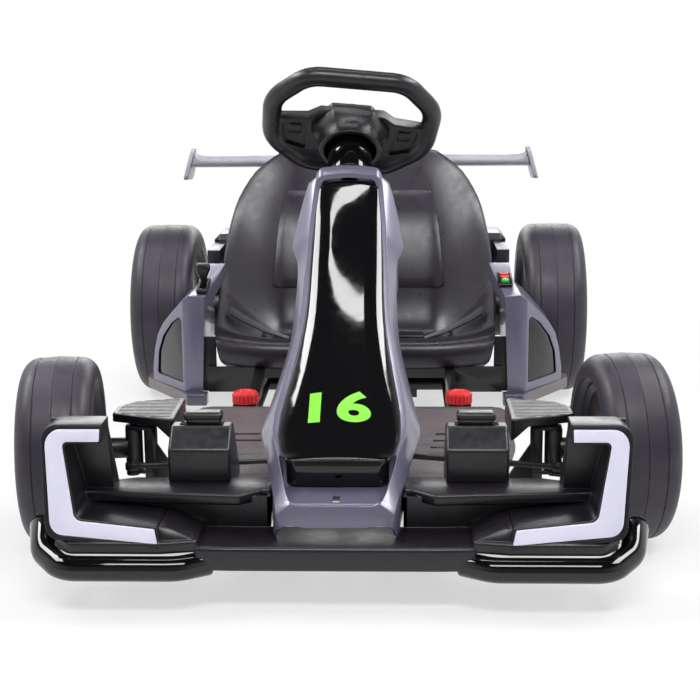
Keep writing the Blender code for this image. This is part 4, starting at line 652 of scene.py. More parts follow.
class KART_OT_stage(bpy.types.Operator):
    """Pale floor, soft studio lights and the camera at the photograph's angle"""
    bl_idname = "kart.stage"
    bl_label = "Stage"

    def execute(self, context):
        bpy.ops.object.select_all(action="DESELECT")
        bpy.ops.mesh.primitive_plane_add(size=FLOOR_SIZE, location=FLOOR_SPOT)
        floor = bpy.context.active_object
        edit(True)
        bpy.ops.mesh.subdivide(number_cuts=FLOOR_CUTS)
        edit(False)
        settle()
        floor.name = "studio_floor"
        made, tree, spot = blank("Paper, matte studio sweep")
        paper = add_node(tree, "ShaderNodeBsdfDiffuse",
                         {"Color": toned(tree, spot, linear(PAPER), 700, 0.99, 1.01),
                          "Roughness": 0.6})
        white = add_node(tree, "ShaderNodeEmission", {"Color": (1, 1, 1, 1), "Strength": 1.0})
        away = add_node(tree, "ShaderNodeVectorMath", {0: spot}, operation="LENGTH")
        fade = add_node(tree, "ShaderNodeMapRange",
                        {"Value": away.outputs["Value"], "From Min": FADE_NEAR,
                         "From Max": FADE_FAR, "To Min": FADE_START, "To Max": 1.0},
                        interpolation_type="SMOOTHSTEP")
        shown = add_node(tree, "ShaderNodeMath", {0: self.seen(tree), 1: fade.outputs["Result"]},
                         operation="MULTIPLY")
        mixed = add_node(tree, "ShaderNodeMixShader", {0: shown.outputs["Value"], 1: paper.outputs["BSDF"],
                                                       2: white.outputs["Emission"]})
        add_node(tree, "ShaderNodeOutputMaterial", {"Surface": mixed.outputs["Shader"]})
        floor.data.materials.append(made)
        self.sky()
        for measures in LAMPS:
            self.lamp(*measures)
        self.camera(context)
        return {"FINISHED"}

    def seen(self, tree):
        """One where a ray of the camera, a reflection or a clear body looks at the surface."""
        path = add_node(tree, "ShaderNodeLightPath")
        level = path.outputs["Is Camera Ray"]
        for kind in ("Is Glossy Ray", "Is Transmission Ray"):
            either = add_node(tree, "ShaderNodeMath", {0: level, 1: path.outputs[kind]}, operation="MAXIMUM")
            level = either.outputs["Value"]
        return level

    def sky(self):
        """A white surround; reflections and soft light see its dark ceiling and dim front."""
        world = bpy.data.worlds.new("Studio surround")
        bpy.context.scene.world = world
        world.use_nodes = True
        tree = world.node_tree
        tree.nodes.clear()
        toward = add_node(tree, "ShaderNodeTexCoord")
        parts = add_node(tree, "ShaderNodeSeparateXYZ", {0: toward.outputs["Generated"]})
        ceiling = add_node(tree, "ShaderNodeMapRange",
                           {"Value": parts.outputs["Z"], "From Min": CEILING_LOW,
                            "From Max": CEILING_HIGH, "To Min": 1.0, "To Max": CEILING_LEVEL},
                           interpolation_type="SMOOTHSTEP")
        front = add_node(tree, "ShaderNodeMapRange",
                         {"Value": parts.outputs["Y"], "From Min": FRONT_FAR,
                          "From Max": FRONT_NEAR, "To Min": FRONT_LEVEL, "To Max": 1.0})
        room = add_node(tree, "ShaderNodeMath", {0: ceiling.outputs["Result"], 1: front.outputs["Result"]},
                        operation="MULTIPLY")
        path = add_node(tree, "ShaderNodeLightPath")
        straight = add_node(tree, "ShaderNodeMath", {0: path.outputs["Is Camera Ray"],
                                                     1: room.outputs["Value"]}, operation="MAXIMUM")
        soft = add_node(tree, "ShaderNodeMapRange", {"Value": path.outputs["Is Diffuse Ray"],
                                                     "To Min": 1.0, "To Max": SOFT_LEVEL})
        level = add_node(tree, "ShaderNodeMath", {0: straight.outputs["Value"], 1: soft.outputs["Result"]},
                         operation="MULTIPLY")
        light = add_node(tree, "ShaderNodeBackground", {"Color": (1, 1, 1, 1),
                                                        "Strength": level.outputs["Value"]})
        add_node(tree, "ShaderNodeOutputWorld", {"Surface": light.outputs["Background"]})

    def lamp(self, name, spot, target, width, height, power):
        """A rectangular softbox that faces the target."""
        bpy.ops.object.light_add(type="AREA", location=spot)
        lamp = bpy.context.active_object
        lamp.name = name
        lamp.rotation_euler = (Vector(target) - Vector(spot)).to_track_quat("-Z", "Y").to_euler()
        lamp.data.shape = "RECTANGLE"
        lamp.data.size, lamp.data.size_y = width, height
        lamp.data.energy = power
        lamp.visible_camera = False

    def camera(self, context):
        """The photograph's viewpoint, close and looking slightly down, and its plain colours."""
        bpy.ops.object.camera_add(location=CAMERA_SPOT)
        camera = bpy.context.active_object
        turn = (Matrix.Rotation(CAMERA_YAW, 3, "Z") @ Matrix.Rotation(math.pi / 2 - CAMERA_PITCH, 3, "X")
                @ Matrix.Rotation(CAMERA_ROLL, 3, "Z"))
        camera.rotation_euler = turn.to_euler()
        camera.name = "photo_camera"
        camera.data.sensor_width = SENSOR_WIDTH
        camera.data.lens = CAMERA_LENS
        camera.data.clip_start = CLIP_START
        context.scene.camera = camera
        context.scene.view_settings.view_transform = "Standard"


class KART_OT_cad_finishes(bpy.types.Operator):
    """Give every solid of the kart its own finish"""
    bl_idname = "kart.cad_finishes"
    bl_label = "Finishes"

    def execute(self, context):
        mix_finishes(context.scene.kart_colours)
        slots = {part["node"]: part["material_slot"] for part in frame["record"]["subparts"]}
        for name, solid in frame["nodes"].items():
            solid.data.materials.clear()
            solid.data.materials.append(FINISHES[slots[name]])
        return {"FINISHED"}


# Wheels: the tyre's radius, width, rounding of its shoulder, height of its crown and radius of its
# bead; the radius of the rim and of its bore; and how many steps the tyre is turned in

WHEELS = {
    "front": {"half_track": 0.350, "radius": 0.117, "width": 0.090, "shoulder": 0.020, "crown": 0.0015,
              "bead": 0.0793, "rim": 0.079, "bore": 0.0083, "steps": 96},
    "rear": {"half_track": 0.338, "radius": 0.149, "width": 0.104, "shoulder": 0.022, "crown": 0.001,
             "bead": 0.0963, "rim": 0.096, "bore": 0.0103, "steps": 112}}
RIM_STEPS = 72
RIM_RECESS = 0.016
RIBS = 6


def wheel_places():
    """Name, kind and place of each wheel; its Z axis points away from the kart."""
    front, rear = WHEELS["front"], WHEELS["rear"]
    for name, side in SIDES:
        turn = Matrix.Rotation(math.pi / 2 * side, 4, "Y")
        knuckle = Matrix.Translation((KINGPIN_X * side, 0, 0)) @ Matrix.Rotation(PARKED_STEER, 4, "Z")
        spot = Matrix.Translation(((front["half_track"] - KINGPIN_X) * side, 0, front["radius"]))
        yield "front_" + name, "front", FRONT @ knuckle @ spot @ turn
        spot = Matrix.Translation((rear["half_track"] * side, 0, rear["radius"]))
        yield "rear_" + name, "rear", REAR @ spot @ turn


def fitted(pieces, label, finish, node, angle=40):
    """Put copies of the front and the rear piece on their wheels and drop the originals."""
    for name, kind, matrix in wheel_places():
        dress(copied(pieces[kind], matrix), name + label, name + "_wheel", finish, [name + node], angle)
    focus(*pieces.values())
    bpy.ops.object.delete()


def tyre_section(wheel, seam):
    """A tyre's section: bead, stepped sidewall, shoulder, ring groove and tread seam on both sides."""
    radius, width, bead, shoulder = (wheel[key] for key in ("radius", "width", "bead", "shoulder"))
    half = width / 2
    wall = radius - shoulder - wheel["crown"]
    upper = [(bead, width * 0.36), (bead + 0.0015, width * 0.40), (bead + 0.005, half - 0.0035),
             (bead + 0.008, half - 0.0025), (bead + 0.0085, half - 0.0003), (wall, half)]
    upper += arc((wall, half - shoulder), shoulder, 80, 4, 9)
    edge, low = half - shoulder, radius - wheel["crown"]
    upper += [(low + 0.0001, edge - 0.0010), (low - 0.0009, edge - 0.0016), (low - 0.0009, edge - 0.0023),
              (low + 0.0002, edge - 0.0029)]
    upper += [(radius - 0.0004, 0.006), (radius - 0.0001, seam), (radius - 0.0008, seam * 0.4)]
    return [(r, 0, z) for r, z in upper + [(r, -z) for r, z in reversed(upper)]]


class KART_OT_tyres(bpy.types.Operator):
    """Four moulded tyres with stepped sidewalls, round shoulders, ring grooves and the mould seam"""
    bl_idname = "kart.tyres"
    bl_label = "Tyres"

    def execute(self, context):
        seam = context.scene.kart_sizes.tread_seam / 2
        tyres = {kind: lathe(tyre_section(wheel, seam), wheel["steps"], closed=True)
                 for kind, wheel in WHEELS.items()}
        fitted(tyres, "_tread", "tyre_black", "_tyre")
        return {"FINISHED"}


def rim_section(radius, width, bore):
    """A rim's section: hub boss, dish with a ring step, lip and barrel."""
    lip = width * 0.38
    inner = width / 2 - RIM_RECESS
    points = [(bore, 0.026), (bore + 0.009, 0.026), (bore + 0.010, 0.025), (bore + 0.0105, 0.0215),
              (radius * 0.52, 0.0175), (radius * 0.56, 0.0155), (radius - 0.017, 0.0150),
              (radius - 0.0125, 0.0185), (radius - 0.006, lip - 0.0015), (radius - 0.0035, lip),
              (radius, lip), (radius, -lip), (radius - 0.008, -inner), (radius - 0.0105, -inner),
              (radius * 0.58, -inner), (radius * 0.52, -inner - 0.0005), (bore + 0.010, -0.024),
              (bore + 0.009, -0.026), (bore, -0.026)]
    return [(r, 0, z) for r, z in points]


class KART_OT_rims(bpy.types.Operator):
    """Four moulded rims, each a dish with ribs and a hub boss"""
    bl_idname = "kart.rims"
    bl_label = "Rims"

    def execute(self, context):
        rounding = context.scene.kart_sizes.rib_round
        rims = {kind: self.rim(wheel["rim"], wheel["width"], wheel["bore"], rounding)
                for kind, wheel in WHEELS.items()}
        fitted(rims, "_dish", "moulded_black", "_rim", 30)
        return {"FINISHED"}

    def rim(self, radius, width, bore, rounding):
        """A turned dish with ribs from the boss to the barrel."""
        dish = lathe(rim_section(radius, width, bore), RIM_STEPS, closed=True)
        low, high = bore + 0.008, radius - 0.008
        rib = prism([(low, -0.006, 0.012), (high, -0.004, 0.012), (high, 0.004, 0.012), (low, 0.006, 0.012)],
                    (0, 0, 0.0065))
        modify("BEVEL", width=rounding, segments=2)
        ribs = [copied(rib, Matrix.Rotation(math.tau * i / RIBS, 4, "Z")) for i in range(1, RIBS)]
        return carved(dish, rib, *ribs, operation="UNION")


# Seat: stations from under the front lip to the top, from the rear axle: middle distance and
# height, half-width, edge distance and height

SEAT_STATIONS = (
    (-0.292, 0.104, 0.203, -0.284, 0.106), (-0.308, 0.114, 0.214, -0.296, 0.118),
    (-0.311, 0.132, 0.219, -0.298, 0.136), (-0.303, 0.146, 0.223, -0.288, 0.152),
    (-0.284, 0.149, 0.225, -0.266, 0.164), (-0.258, 0.136, 0.226, -0.244, 0.170),
    (-0.220, 0.121, 0.228, -0.215, 0.180), (-0.150, 0.114, 0.230, -0.165, 0.200),
    (-0.105, 0.118, 0.230, -0.125, 0.222),
    (-0.075, 0.160, 0.227, -0.105, 0.262), (-0.050, 0.230, 0.220, -0.075, 0.305),
    (-0.015, 0.310, 0.208, -0.035, 0.350), (0.030, 0.370, 0.182, 0.005, 0.392),
    (0.066, 0.415, 0.152, 0.042, 0.415), (0.078, 0.427, 0.138, 0.054, 0.424))

# The bolsters rise over the outer part of the half-width; the backrest panel covers some of the
# stations and, of its own finer columns, the ones in the middle

BOLSTER_START = 0.55
BOLSTER_SPAN = 0.45
BOLSTER_CURVE = 1.5
SEAT_COLUMNS = 36
BACKREST_STATIONS = slice(8, 14)
BACKREST_COLUMNS = 48
BACKREST_MIDDLE = slice(8, 41)
BACKREST_THICKNESS = 0.0078


def seat_row(station, columns):
    """One row across the seat, flat in the middle and raised to the edge's place at both sides."""
    y, z, half, edge_y, edge_z = station
    row = []
    for i in range(columns + 1):
        across = -1 + 2 * i / columns
        rise = max(0.0, (abs(across) - BOLSTER_START) / BOLSTER_SPAN) ** BOLSTER_CURVE
        row.append((half * across, y + (edge_y - y) * rise, z + (edge_z - z) * rise))
    return row


class KART_OT_seat(bpy.types.Operator):
    """The bucket seat: one smooth shell from under its front lip to the top of the backrest"""
    bl_idname = "kart.seat"
    bl_label = "Seat"

    def execute(self, context):
        wall = context.scene.kart_sizes.seat_wall
        rows = [seat_row(station, SEAT_COLUMNS) for station in eased(SEAT_STATIONS, 3)]
        shell = skin(rows, closed=False)
        place(shell, REAR)
        modify("SOLIDIFY", thickness=wall, offset=0.0, use_even_offset=True)
        softened(0.0018, 3, 50)
        dress(shell, "bucket_seat", "rear_chassis", "seat_black", ["seat_shell"])
        return {"FINISHED"}


# Nose: sections along the fairing from the front axle: distance; half-width and height of the
# crest beside the panel, of the ledge inside it and of the outer edge; wall half-width and bottom.
# The first rows, chin and tray, keep their steps; the rows behind them are joined by curves.

STEPPED_ROWS = 8
NOSE_WALL = 0.003
NOSE_SECTIONS = (
    (-0.2235, 0.0500, 0.0935, 0.0400, 0.0930, 0.0625, 0.0925, 0.0600, 0.0915),
    (-0.2190, 0.0502, 0.1165, 0.0460, 0.1168, 0.0655, 0.1050, 0.0655, 0.0870),
    (-0.2155, 0.0505, 0.1190, 0.0480, 0.1190, 0.0662, 0.1085, 0.0665, 0.0820),
    (-0.2110, 0.0520, 0.1192, 0.0492, 0.1160, 0.0670, 0.1110, 0.0680, 0.0780),
    (-0.1950, 0.0565, 0.1240, 0.0530, 0.1162, 0.0695, 0.1155, 0.0708, 0.0772),
    (-0.1700, 0.0622, 0.1352, 0.0580, 0.1166, 0.0738, 0.1190, 0.0728, 0.0800),
    (-0.1470, 0.0672, 0.1462, 0.0620, 0.1170, 0.0780, 0.1225, 0.0752, 0.0850),
    (-0.1380, 0.0690, 0.1500, 0.0640, 0.1480, 0.0792, 0.1240, 0.0755, 0.0853),
    (-0.1200, 0.0735, 0.1570, 0.0688, 0.1545, 0.0825, 0.1278, 0.0755, 0.0853),
    (-0.1000, 0.0785, 0.1640, 0.0722, 0.1610, 0.0860, 0.1325, 0.0758, 0.0853),
    (-0.0700, 0.0790, 0.1760, 0.0722, 0.1722, 0.0920, 0.1430, 0.0800, 0.0853),
    (-0.0400, 0.0765, 0.1880, 0.0700, 0.1846, 0.0958, 0.1545, 0.0840, 0.0853),
    (0.0300, 0.0670, 0.2235, 0.0608, 0.2196, 0.0832, 0.1900, 0.0760, 0.0853),
    (0.1000, 0.0586, 0.2645, 0.0526, 0.2608, 0.0712, 0.2310, 0.0668, 0.1650),
    (0.1700, 0.0553, 0.3135, 0.0496, 0.3098, 0.0676, 0.2820, 0.0636, 0.2260),
    (0.2080, 0.0536, 0.3440, 0.0478, 0.3404, 0.0680, 0.3155, 0.0640, 0.2590),
    (0.2260, 0.0530, 0.3600, 0.0472, 0.3564, 0.0756, 0.3330, 0.0690, 0.2750),
    (0.2400, 0.0522, 0.3720, 0.0464, 0.3685, 0.0752, 0.3460, 0.0690, 0.2880),
    (0.2750, 0.0490, 0.4040, 0.0432, 0.4005, 0.0665, 0.3860, 0.0620, 0.3300),
    (0.3000, 0.0462, 0.4270, 0.0400, 0.4235, 0.0572, 0.4180, 0.0540, 0.3650))

# The panel on it: distance, half-width, height of its rim and of its crown

PANEL_SECTIONS = (
    (-0.1580, 0.0500, 0.1478, 0.1490), (-0.1568, 0.0555, 0.1484, 0.1502),
    (-0.1520, 0.0600, 0.1494, 0.1524), (-0.1400, 0.0640, 0.1508, 0.1568),
    (-0.1200, 0.0680, 0.1560, 0.1645), (-0.1000, 0.0708, 0.1625, 0.1720),
    (-0.0700, 0.0708, 0.1738, 0.1855), (-0.0400, 0.0688, 0.1862, 0.2000),
    (0.0300, 0.0598, 0.2210, 0.2360), (0.1000, 0.0518, 0.2622, 0.2770),
    (0.1700, 0.0488, 0.3112, 0.3255), (0.2400, 0.0458, 0.3698, 0.3830),
    (0.2700, 0.0430, 0.3975, 0.4065), (0.2900, 0.0408, 0.4150, 0.4215))


def nose_row(section):
    """One row across the fairing, from the foot of one wall over the crests to the other."""
    y, crest_x, crest_z, ledge_x, ledge_z, edge_x, edge_z, wall_x, bottom = section
    drop = min(0.010, (edge_z - bottom) * 0.4)
    half = ((wall_x, bottom), (wall_x, edge_z - drop), (edge_x, edge_z), (crest_x, crest_z),
            (ledge_x, ledge_z), (ledge_x - 0.004, ledge_z - 0.002))
    return mirrored([(-x, y, z) for x, z in half])


def nose_arch():
    """The bow that closes the crests over the panel's upper end."""
    outer = rounded(mirrored([(-0.0475, 0.4120, 0.0), (-0.0455, 0.4395, 0.013), (0.0, 0.4445, 0.08)]), 5)
    inner = rounded(mirrored([(0.0395, 0.4120, 0.0), (0.0385, 0.4340, 0.010), (0.0, 0.4372, 0.08)]), 5)
    bow = prism([(x, 0.3010, z) for x, z in outer + inner], (0.0, -0.0120, -0.0108))
    softened(0.0014, 3, 50)
    return bow


class KART_OT_nose(bpy.types.Operator):
    """Nose fairing in one skin: walls, outer edges, crests, the tray and its flared chin"""
    bl_idname = "kart.nose"
    bl_label = "Nose fairing"

    def execute(self, context):
        sections = NOSE_SECTIONS[:STEPPED_ROWS] + tuple(eased(NOSE_SECTIONS[STEPPED_ROWS - 1:], 3)[1:])
        cover = skin([nose_row(section) for section in sections], closed=False)
        modify("SOLIDIFY", thickness=NOSE_WALL, offset=-1.0)
        softened(0.0016, 3, 22)
        slot = block((-0.0042, -0.203, 0.110), (0.0042, -0.180, 0.125), 0.0018)
        rods = block((-0.12, -0.058, 0.05), (0.12, -0.006, 0.119))
        carved(cover, slot, rods)
        cover = joined(cover, nose_arch())
        place(cover, FRONT)
        dress(cover, "nose_fairing", "front_section", "fairing_grey", ["nose_cover"], 30)
        return {"FINISHED"}


# The panel: the edge below its rim, and the power and steps of the crown's curve. The number:
# stroke weight, spacing and width to height of the digits, the place and slope from which they
# are pressed on the panel, and the film.

PANEL_EDGE = 0.0012
CROWN_POWER = 2.6
CROWN_STEPS = 16
DIGIT_WEIGHT = 0.035
DIGIT_SPACING = 1.12
DIGIT_PROPORTION = 1.28
DIGIT_SPOT = (0, -0.066, 0.215)
DIGIT_SLOPE = math.radians(26.0)
FILM_THICKNESS = 0.0002


class KART_OT_nose_panel(bpy.types.Operator):
    """Crowned gloss panel, the dark band below it and the racing number"""
    bl_idname = "kart.nose_panel"
    bl_label = "Nose panel and number"

    def execute(self, context):
        rings = []
        for y, half, rim, crown in eased(PANEL_SECTIONS, 3):
            ring = [(-half, y, rim - PANEL_EDGE), (half, y, rim - PANEL_EDGE)]
            for step in range(CROWN_STEPS + 1):
                across = 1 - 2 * step / CROWN_STEPS
                ring.append((half * across, y, rim + (crown - rim) * (1 - abs(across) ** CROWN_POWER)))
            rings.append(ring)
        panel = place(skin(rings), FRONT)
        softened(0.0008, 2, 50)
        dress(panel, "gloss_panel", "front_section", "gloss_black", ["nose_panel"])
        half = [(0.0600, -0.139, 0.0), (0.0585, -0.147, 0.005), (0.0490, -0.1545, 0.007)]
        outline = rounded(mirrored(half), 4)
        band = prism([(x, y, 0.1172) for x, y in outline], (0, 0, 0.0290))
        softened(0.0016, 2, 50)
        place(band, FRONT)
        dress(band, "panel_band", "front_section", "gloss_black", ["nose_band"])
        self.number(context, panel)
        return {"FINISHED"}

    def number(self, context, panel):
        """Plain bold digits, wrapped on the panel as a thin printed film."""
        height = context.scene.kart_sizes.digit_height
        bpy.ops.object.select_all(action="DESELECT")
        bpy.ops.object.text_add(radius=1.0)
        digits = bpy.context.active_object
        digits.data.body = "16"
        digits.data.align_x = "CENTER"
        digits.data.align_y = "CENTER"
        digits.data.offset = DIGIT_WEIGHT
        digits.data.space_character = DIGIT_SPACING
        digits.data.resolution_u = 6
        bpy.ops.object.convert(target="MESH")
        bpy.ops.object.origin_set(type="ORIGIN_GEOMETRY", center="BOUNDS")
        wide, high = digits.dimensions[:2]
        digits.location = (0, 0, 0)
        digits.scale = (height * DIGIT_PROPORTION / wide, height / high, 1.0)
        settle()
        edit(True)
        bpy.ops.mesh.select_all(action="SELECT")
        bpy.ops.mesh.quads_convert_to_tris()
        bpy.ops.mesh.subdivide(number_cuts=3)
        edit(False)
        slope = Matrix.Rotation(DIGIT_SLOPE, 4, "X")
        place(digits, FRONT @ Matrix.Translation(DIGIT_SPOT) @ slope)
        modify("SHRINKWRAP", target=panel, wrap_method="PROJECT", use_project_z=True,
               use_negative_direction=True, use_positive_direction=False, offset=FILM_THICKNESS)
        modify("SOLIDIFY", thickness=FILM_THICKNESS, offset=1.0)
        dress(digits, "racing_number", "front_section", "number_green", angle=30)


# Front end: every place is measured from the front axle. The lights lean back from their top; the
# bumper's slot takes the nose; a guard tube rises as it sweeps back from its front.

LIGHT_TOP = (-0.200, 0.190)
LIGHT_LEAN = 0.4
SLOT_HALF_WIDTH = 0.0752
GUARD_RADIUS = 0.014
GUARD_FRONT = -0.2465
GUARD_SWEEP = 0.072
GUARD_HEIGHT = 0.052
GUARD_RISE = 0.024
ARM_COVER_LOW = 0.1326
ARM_COVER_HIGH = 0.1611
GROOVES = 13
GROOVE_START = -0.016
GROOVE_PITCH = 0.0070
GROOVE_WIDTH = 0.0028
GROOVE_MARGIN = 0.006
PEDAL_X = 0.1605
HOOD_HALF_WIDTH = 0.036
HOOD_WALL = 0.003


def leaning_prism(outline, near, far):
    """A plate seen from the front that follows the lights' leaning plane."""
    y0, z0 = LIGHT_TOP
    return prism([(x, y0 + LIGHT_LEAN * (z - z0) + near, z) for x, z in outline], (0, far - near, 0))


def light_outline(grow):
    """The C of the right-hand light, from its upper inner end round the outside and back."""
    inside, tip = grow * 0.4, grow * 0.6
    return rounded([
        (0.261 - inside, 0.1832 - inside, 0.001), (0.261 - inside, 0.196 + grow, 0.001),
        (0.323 + grow, 0.196 + grow, 0.016), (0.311 + grow, 0.0895 - grow, 0.016),
        (0.193 - tip, 0.0795 - grow, 0.001), (0.197 - tip, 0.0945 + inside, 0.001),
        (0.2850 - inside, 0.1030 + inside, 0.010), (0.3028 - inside, 0.1832 - inside, 0.005)], 6)


class KART_OT_bumper(bpy.types.Operator):
    """Front bumper: lip, recess wall, shelf, flanges and the two light housings"""
    bl_idname = "kart.bumper"
    bl_label = "Front bumper"

    def execute(self, context):
        slot_half = SLOT_HALF_WIDTH
        lip = flat_prism([(-0.155, -0.241), (-0.116, -0.243), (0.116, -0.243), (0.155, -0.241),
                          (0.155, -0.169), (-0.155, -0.169)], 0.047, 0.075)
        softened(0.0050, 4)
        wall = flat_prism([(slot_half, -0.175), (0.112, -0.175), (0.322, -0.158), (0.322, -0.152),
                           (0.112, -0.169), (slot_half, -0.169)], 0.050, 0.111)
        shelf = flat_prism([(slot_half, -0.165), (0.085, -0.165), (0.110, -0.188), (0.302, -0.172),
                            (0.302, -0.150), (0.262, -0.131), (0.236, -0.120), (slot_half, -0.120)],
                           0.104, 0.117)
        softened(0.0030, 3)
        cheek = flat_prism([(slot_half, -0.175), (0.0790, -0.175), (0.0790, -0.121), (slot_half, -0.121)],
                           0.076, 0.112)
        flange = flat_prism(rounded([(0.151, -0.165, 0.0), (0.151, -0.238, 0.004), (0.190, -0.2455, 0.010),
                                     (0.292, -0.2455, 0.014), (0.3100, -0.226, 0.010), (0.306, -0.160, 0.0)],
                                    6), 0.0675, 0.0815)
        softened(0.0032, 3)
        housing = leaning_prism(light_outline(0.005), 0.0, 0.075)
        rear = block((0.15, -0.158, 0.0), (0.40, 0.1, 0.3))
        carved(housing, rear)
        softened(0.0016, 3, 50)
        pocket = leaning_prism(light_outline(0.0011), -0.02, 0.0035)
        carved(housing, pocket)
        back = skin([[(x, y, 0.106) for x, y in ((0.2530, -0.133), (0.2550, -0.160), (0.324, -0.160),
                                                 (0.324, -0.158), (0.298, -0.147))],
                     [(x, y, 0.2005) for x, y in ((0.2600, -0.160), (0.2602, -0.167), (0.3235, -0.167),
                                                  (0.3235, -0.163), (0.300, -0.161))]])
        softened(0.0020, 3)
        wedge = prism([(0.150, -0.236, 0.0800), (0.1915, -0.2395, 0.0800), (0.1935, -0.2335, 0.0955),
                       (0.182, -0.2300, 0.0935)], (0, 0.066, 0))
        softened(0.0014, 2)
        right = joined(wall, shelf, cheek, flange, housing, back, wedge)
        bumper = place(joined(lip, both(right)), FRONT)
        dress(bumper, "bumper_moulding", "front_section", "moulded_black", ["front_bumper"])
        for side_name, side in SIDES:
            lens = leaning_prism(light_outline(0.0), -0.0013, 0.0027)
            softened(0.0010, 3, 50)
            dress(place(lens, sided(FRONT, side)), side_name + "_light_lens", "front_section", "lens_white",
                  [side_name + "_light"])
        return {"FINISHED"}


class KART_OT_guards(bpy.types.Operator):
    """Bent gloss tubes under the lights"""
    bl_idname = "kart.guards"
    bl_label = "Guard tubes"

    def execute(self, context):
        corners = [(0.3370, -0.1745, 0.0), (0.3270, -0.214, 0.036), (0.298, GUARD_FRONT, 0.036),
                   (0.172, GUARD_FRONT, 0.040), (0.1400, -0.2270, 0.0)]
        points = []
        for x, y in rounded(corners, 10):
            share = max(0.0, (y - GUARD_FRONT) / GUARD_SWEEP) if x > 0.2 else 0.0
            points.append((x, y, GUARD_HEIGHT + GUARD_RISE * share ** 1.5))
        for side_name, side in SIDES:
            guard = tube(points, GUARD_RADIUS, 8)
            end = rod((0.3370, -0.1740, 0.0760), (0.3371, -0.1730, 0.0762), 0.0142, 32)
            focus(guard)
            softened(0.0012, 2, 60)
            place(joined(guard, end), sided(FRONT, side))
            dress(guard, side_name + "_guard_tube", "front_section", "gloss_black",
                  [side_name + "_bumper_tube"], 50)
        return {"FINISHED"}


class KART_OT_arm_covers(bpy.types.Operator):
    """Ribbed wedge covers over the kingpins"""
    bl_idname = "kart.arm_covers"
    bl_label = "Arm covers"

    def execute(self, context):
        outline = rounded([(0.207, -0.030, 0.006), (0.289, 0.000, 0.008), (0.288, 0.038, 0.010),
                           (0.270, 0.062, 0.010), (0.207, 0.080, 0.006)], 5)
        for side_name, side in SIDES:
            cover = flat_prism(outline, ARM_COVER_LOW, ARM_COVER_HIGH)
            softened(0.0026, 4)
            room = prism([(0.207, -0.05, ARM_COVER_LOW), (0.229, -0.05, 0.1506), (0.300, -0.05, 0.1506),
                          (0.300, -0.05, 0.1226), (0.197, -0.05, 0.1226)], (0, 0.15, 0))
            grooves = []
            for i in range(GROOVES):
                y = GROOVE_START + GROOVE_PITCH * i
                hits = [a[0] + (b[0] - a[0]) * (y - a[1]) / (b[1] - a[1])
                        for a, b in zip(outline, outline[1:] + outline[:1]) if (a[1] - y) * (b[1] - y) < 0]
                grooves.append(block((min(hits) + GROOVE_MARGIN, y, ARM_COVER_HIGH - 0.0010),
                                     (max(hits) - GROOVE_MARGIN, y + GROOVE_WIDTH, 0.170), 0.0006, 1))
            carved(cover, room, *grooves)
            place(cover, sided(FRONT, side))
            dress(cover, side_name + "_arm_fairing", "front_section", "moulded_black",
                  [side_name + "_arm_cover"], 35)
        return {"FINISHED"}


class KART_OT_pedals(bpy.types.Operator):
    """Pedal hoods with rounded shoulders, and the pedals in them"""
    bl_idname = "kart.pedals"
    bl_label = "Pedals and hoods"

    def execute(self, context):
        for side_name, side in SIDES:
            spot = FRONT @ Matrix.Translation((PEDAL_X * side, 0, 0))
            profile = rounded([(-0.1400, 0.1153, 0.0), (-0.1395, 0.1545, 0.007), (-0.1130, 0.1765, 0.007),
                               (-0.0920, 0.1760, 0.004), (-0.0420, 0.1070, 0.006), (-0.0420, 0.0950, 0.0),
                               (-0.1217, 0.0950, 0.0), (-0.1217, 0.1153, 0.0)], 6)
            hood = side_prism(profile, HOOD_HALF_WIDTH)
            softened(0.0080, 6, 62)
            hollow = side_prism([(-0.137, 0.08), (-0.137, 0.1505), (-0.134, 0.1555), (-0.112, 0.1732),
                                 (-0.02, 0.1732), (-0.02, 0.08)], HOOD_HALF_WIDTH - HOOD_WALL)
            notch = block((-0.0255, -0.110, 0.160), (0.0255, -0.05, 0.19), 0.002)
            shelf_room = block((-0.046, -0.160, 0.080), (0.046, -0.1197, 0.1173))
            carved(hood, hollow, notch, shelf_room)
            place(hood, spot)
            dress(hood, side_name + "_pedal_hood", "front_section", "moulded_black",
                  [side_name + "_pedal_housing"])
        refined("accelerator_pedal", "accelerator_foot_pedal", "moulded_black", 0.0012, 3)
        refined("brake_pedal", "brake_foot_pedal", "moulded_black", 0.0012, 3)
        return {"FINISHED"}


# Steering: drawn flat about the wheel's hub, Y up the wheel and Z towards the driver

GRIP_HALF_WIDTH = 0.117
GRIP_HALF_HEIGHT = 0.0935
GRIP_RADIUS = 0.0140
SHAFT_BORE = 0.0103
COLLAR_RADIUS = 0.0315
HUB_TOP = -0.0083
RING_POINTS = 60

# Hub boss: half-width, half-height, depth below its top, and how round the six-sided section is

HUB_SECTIONS = (
    (0.0560, 0.0440, 0.0, 0.03), (0.0580, 0.0462, 0.0015, 0.04), (0.0572, 0.0460, 0.0120, 0.06),
    (0.0545, 0.0452, 0.0190, 0.22), (0.0490, 0.0450, 0.0260, 0.60), (0.0460, 0.0450, 0.0320, 0.88),
    (0.0450, 0.0450, 0.0380, 1.0), (0.0450, 0.0450, 0.0440, 1.0), (0.0440, 0.0440, 0.0450, 1.0))


def hex_ring(half_width, half_height, height, roundness):
    """A ring between a hexagon with points to the sides and a circle."""
    points = []
    for i in range(RING_POINTS):
        angle = math.tau * i / RING_POINTS
        sector = (angle + math.pi / 6) % (math.pi / 3) - math.pi / 6
        hexagon = math.cos(math.pi / 6) / math.cos(math.pi / 6 - abs(sector))
        reach = hexagon + (1.0 - hexagon) * roundness
        points.append((half_width * reach * math.cos(angle), half_height * reach * math.sin(angle), height))
    return points


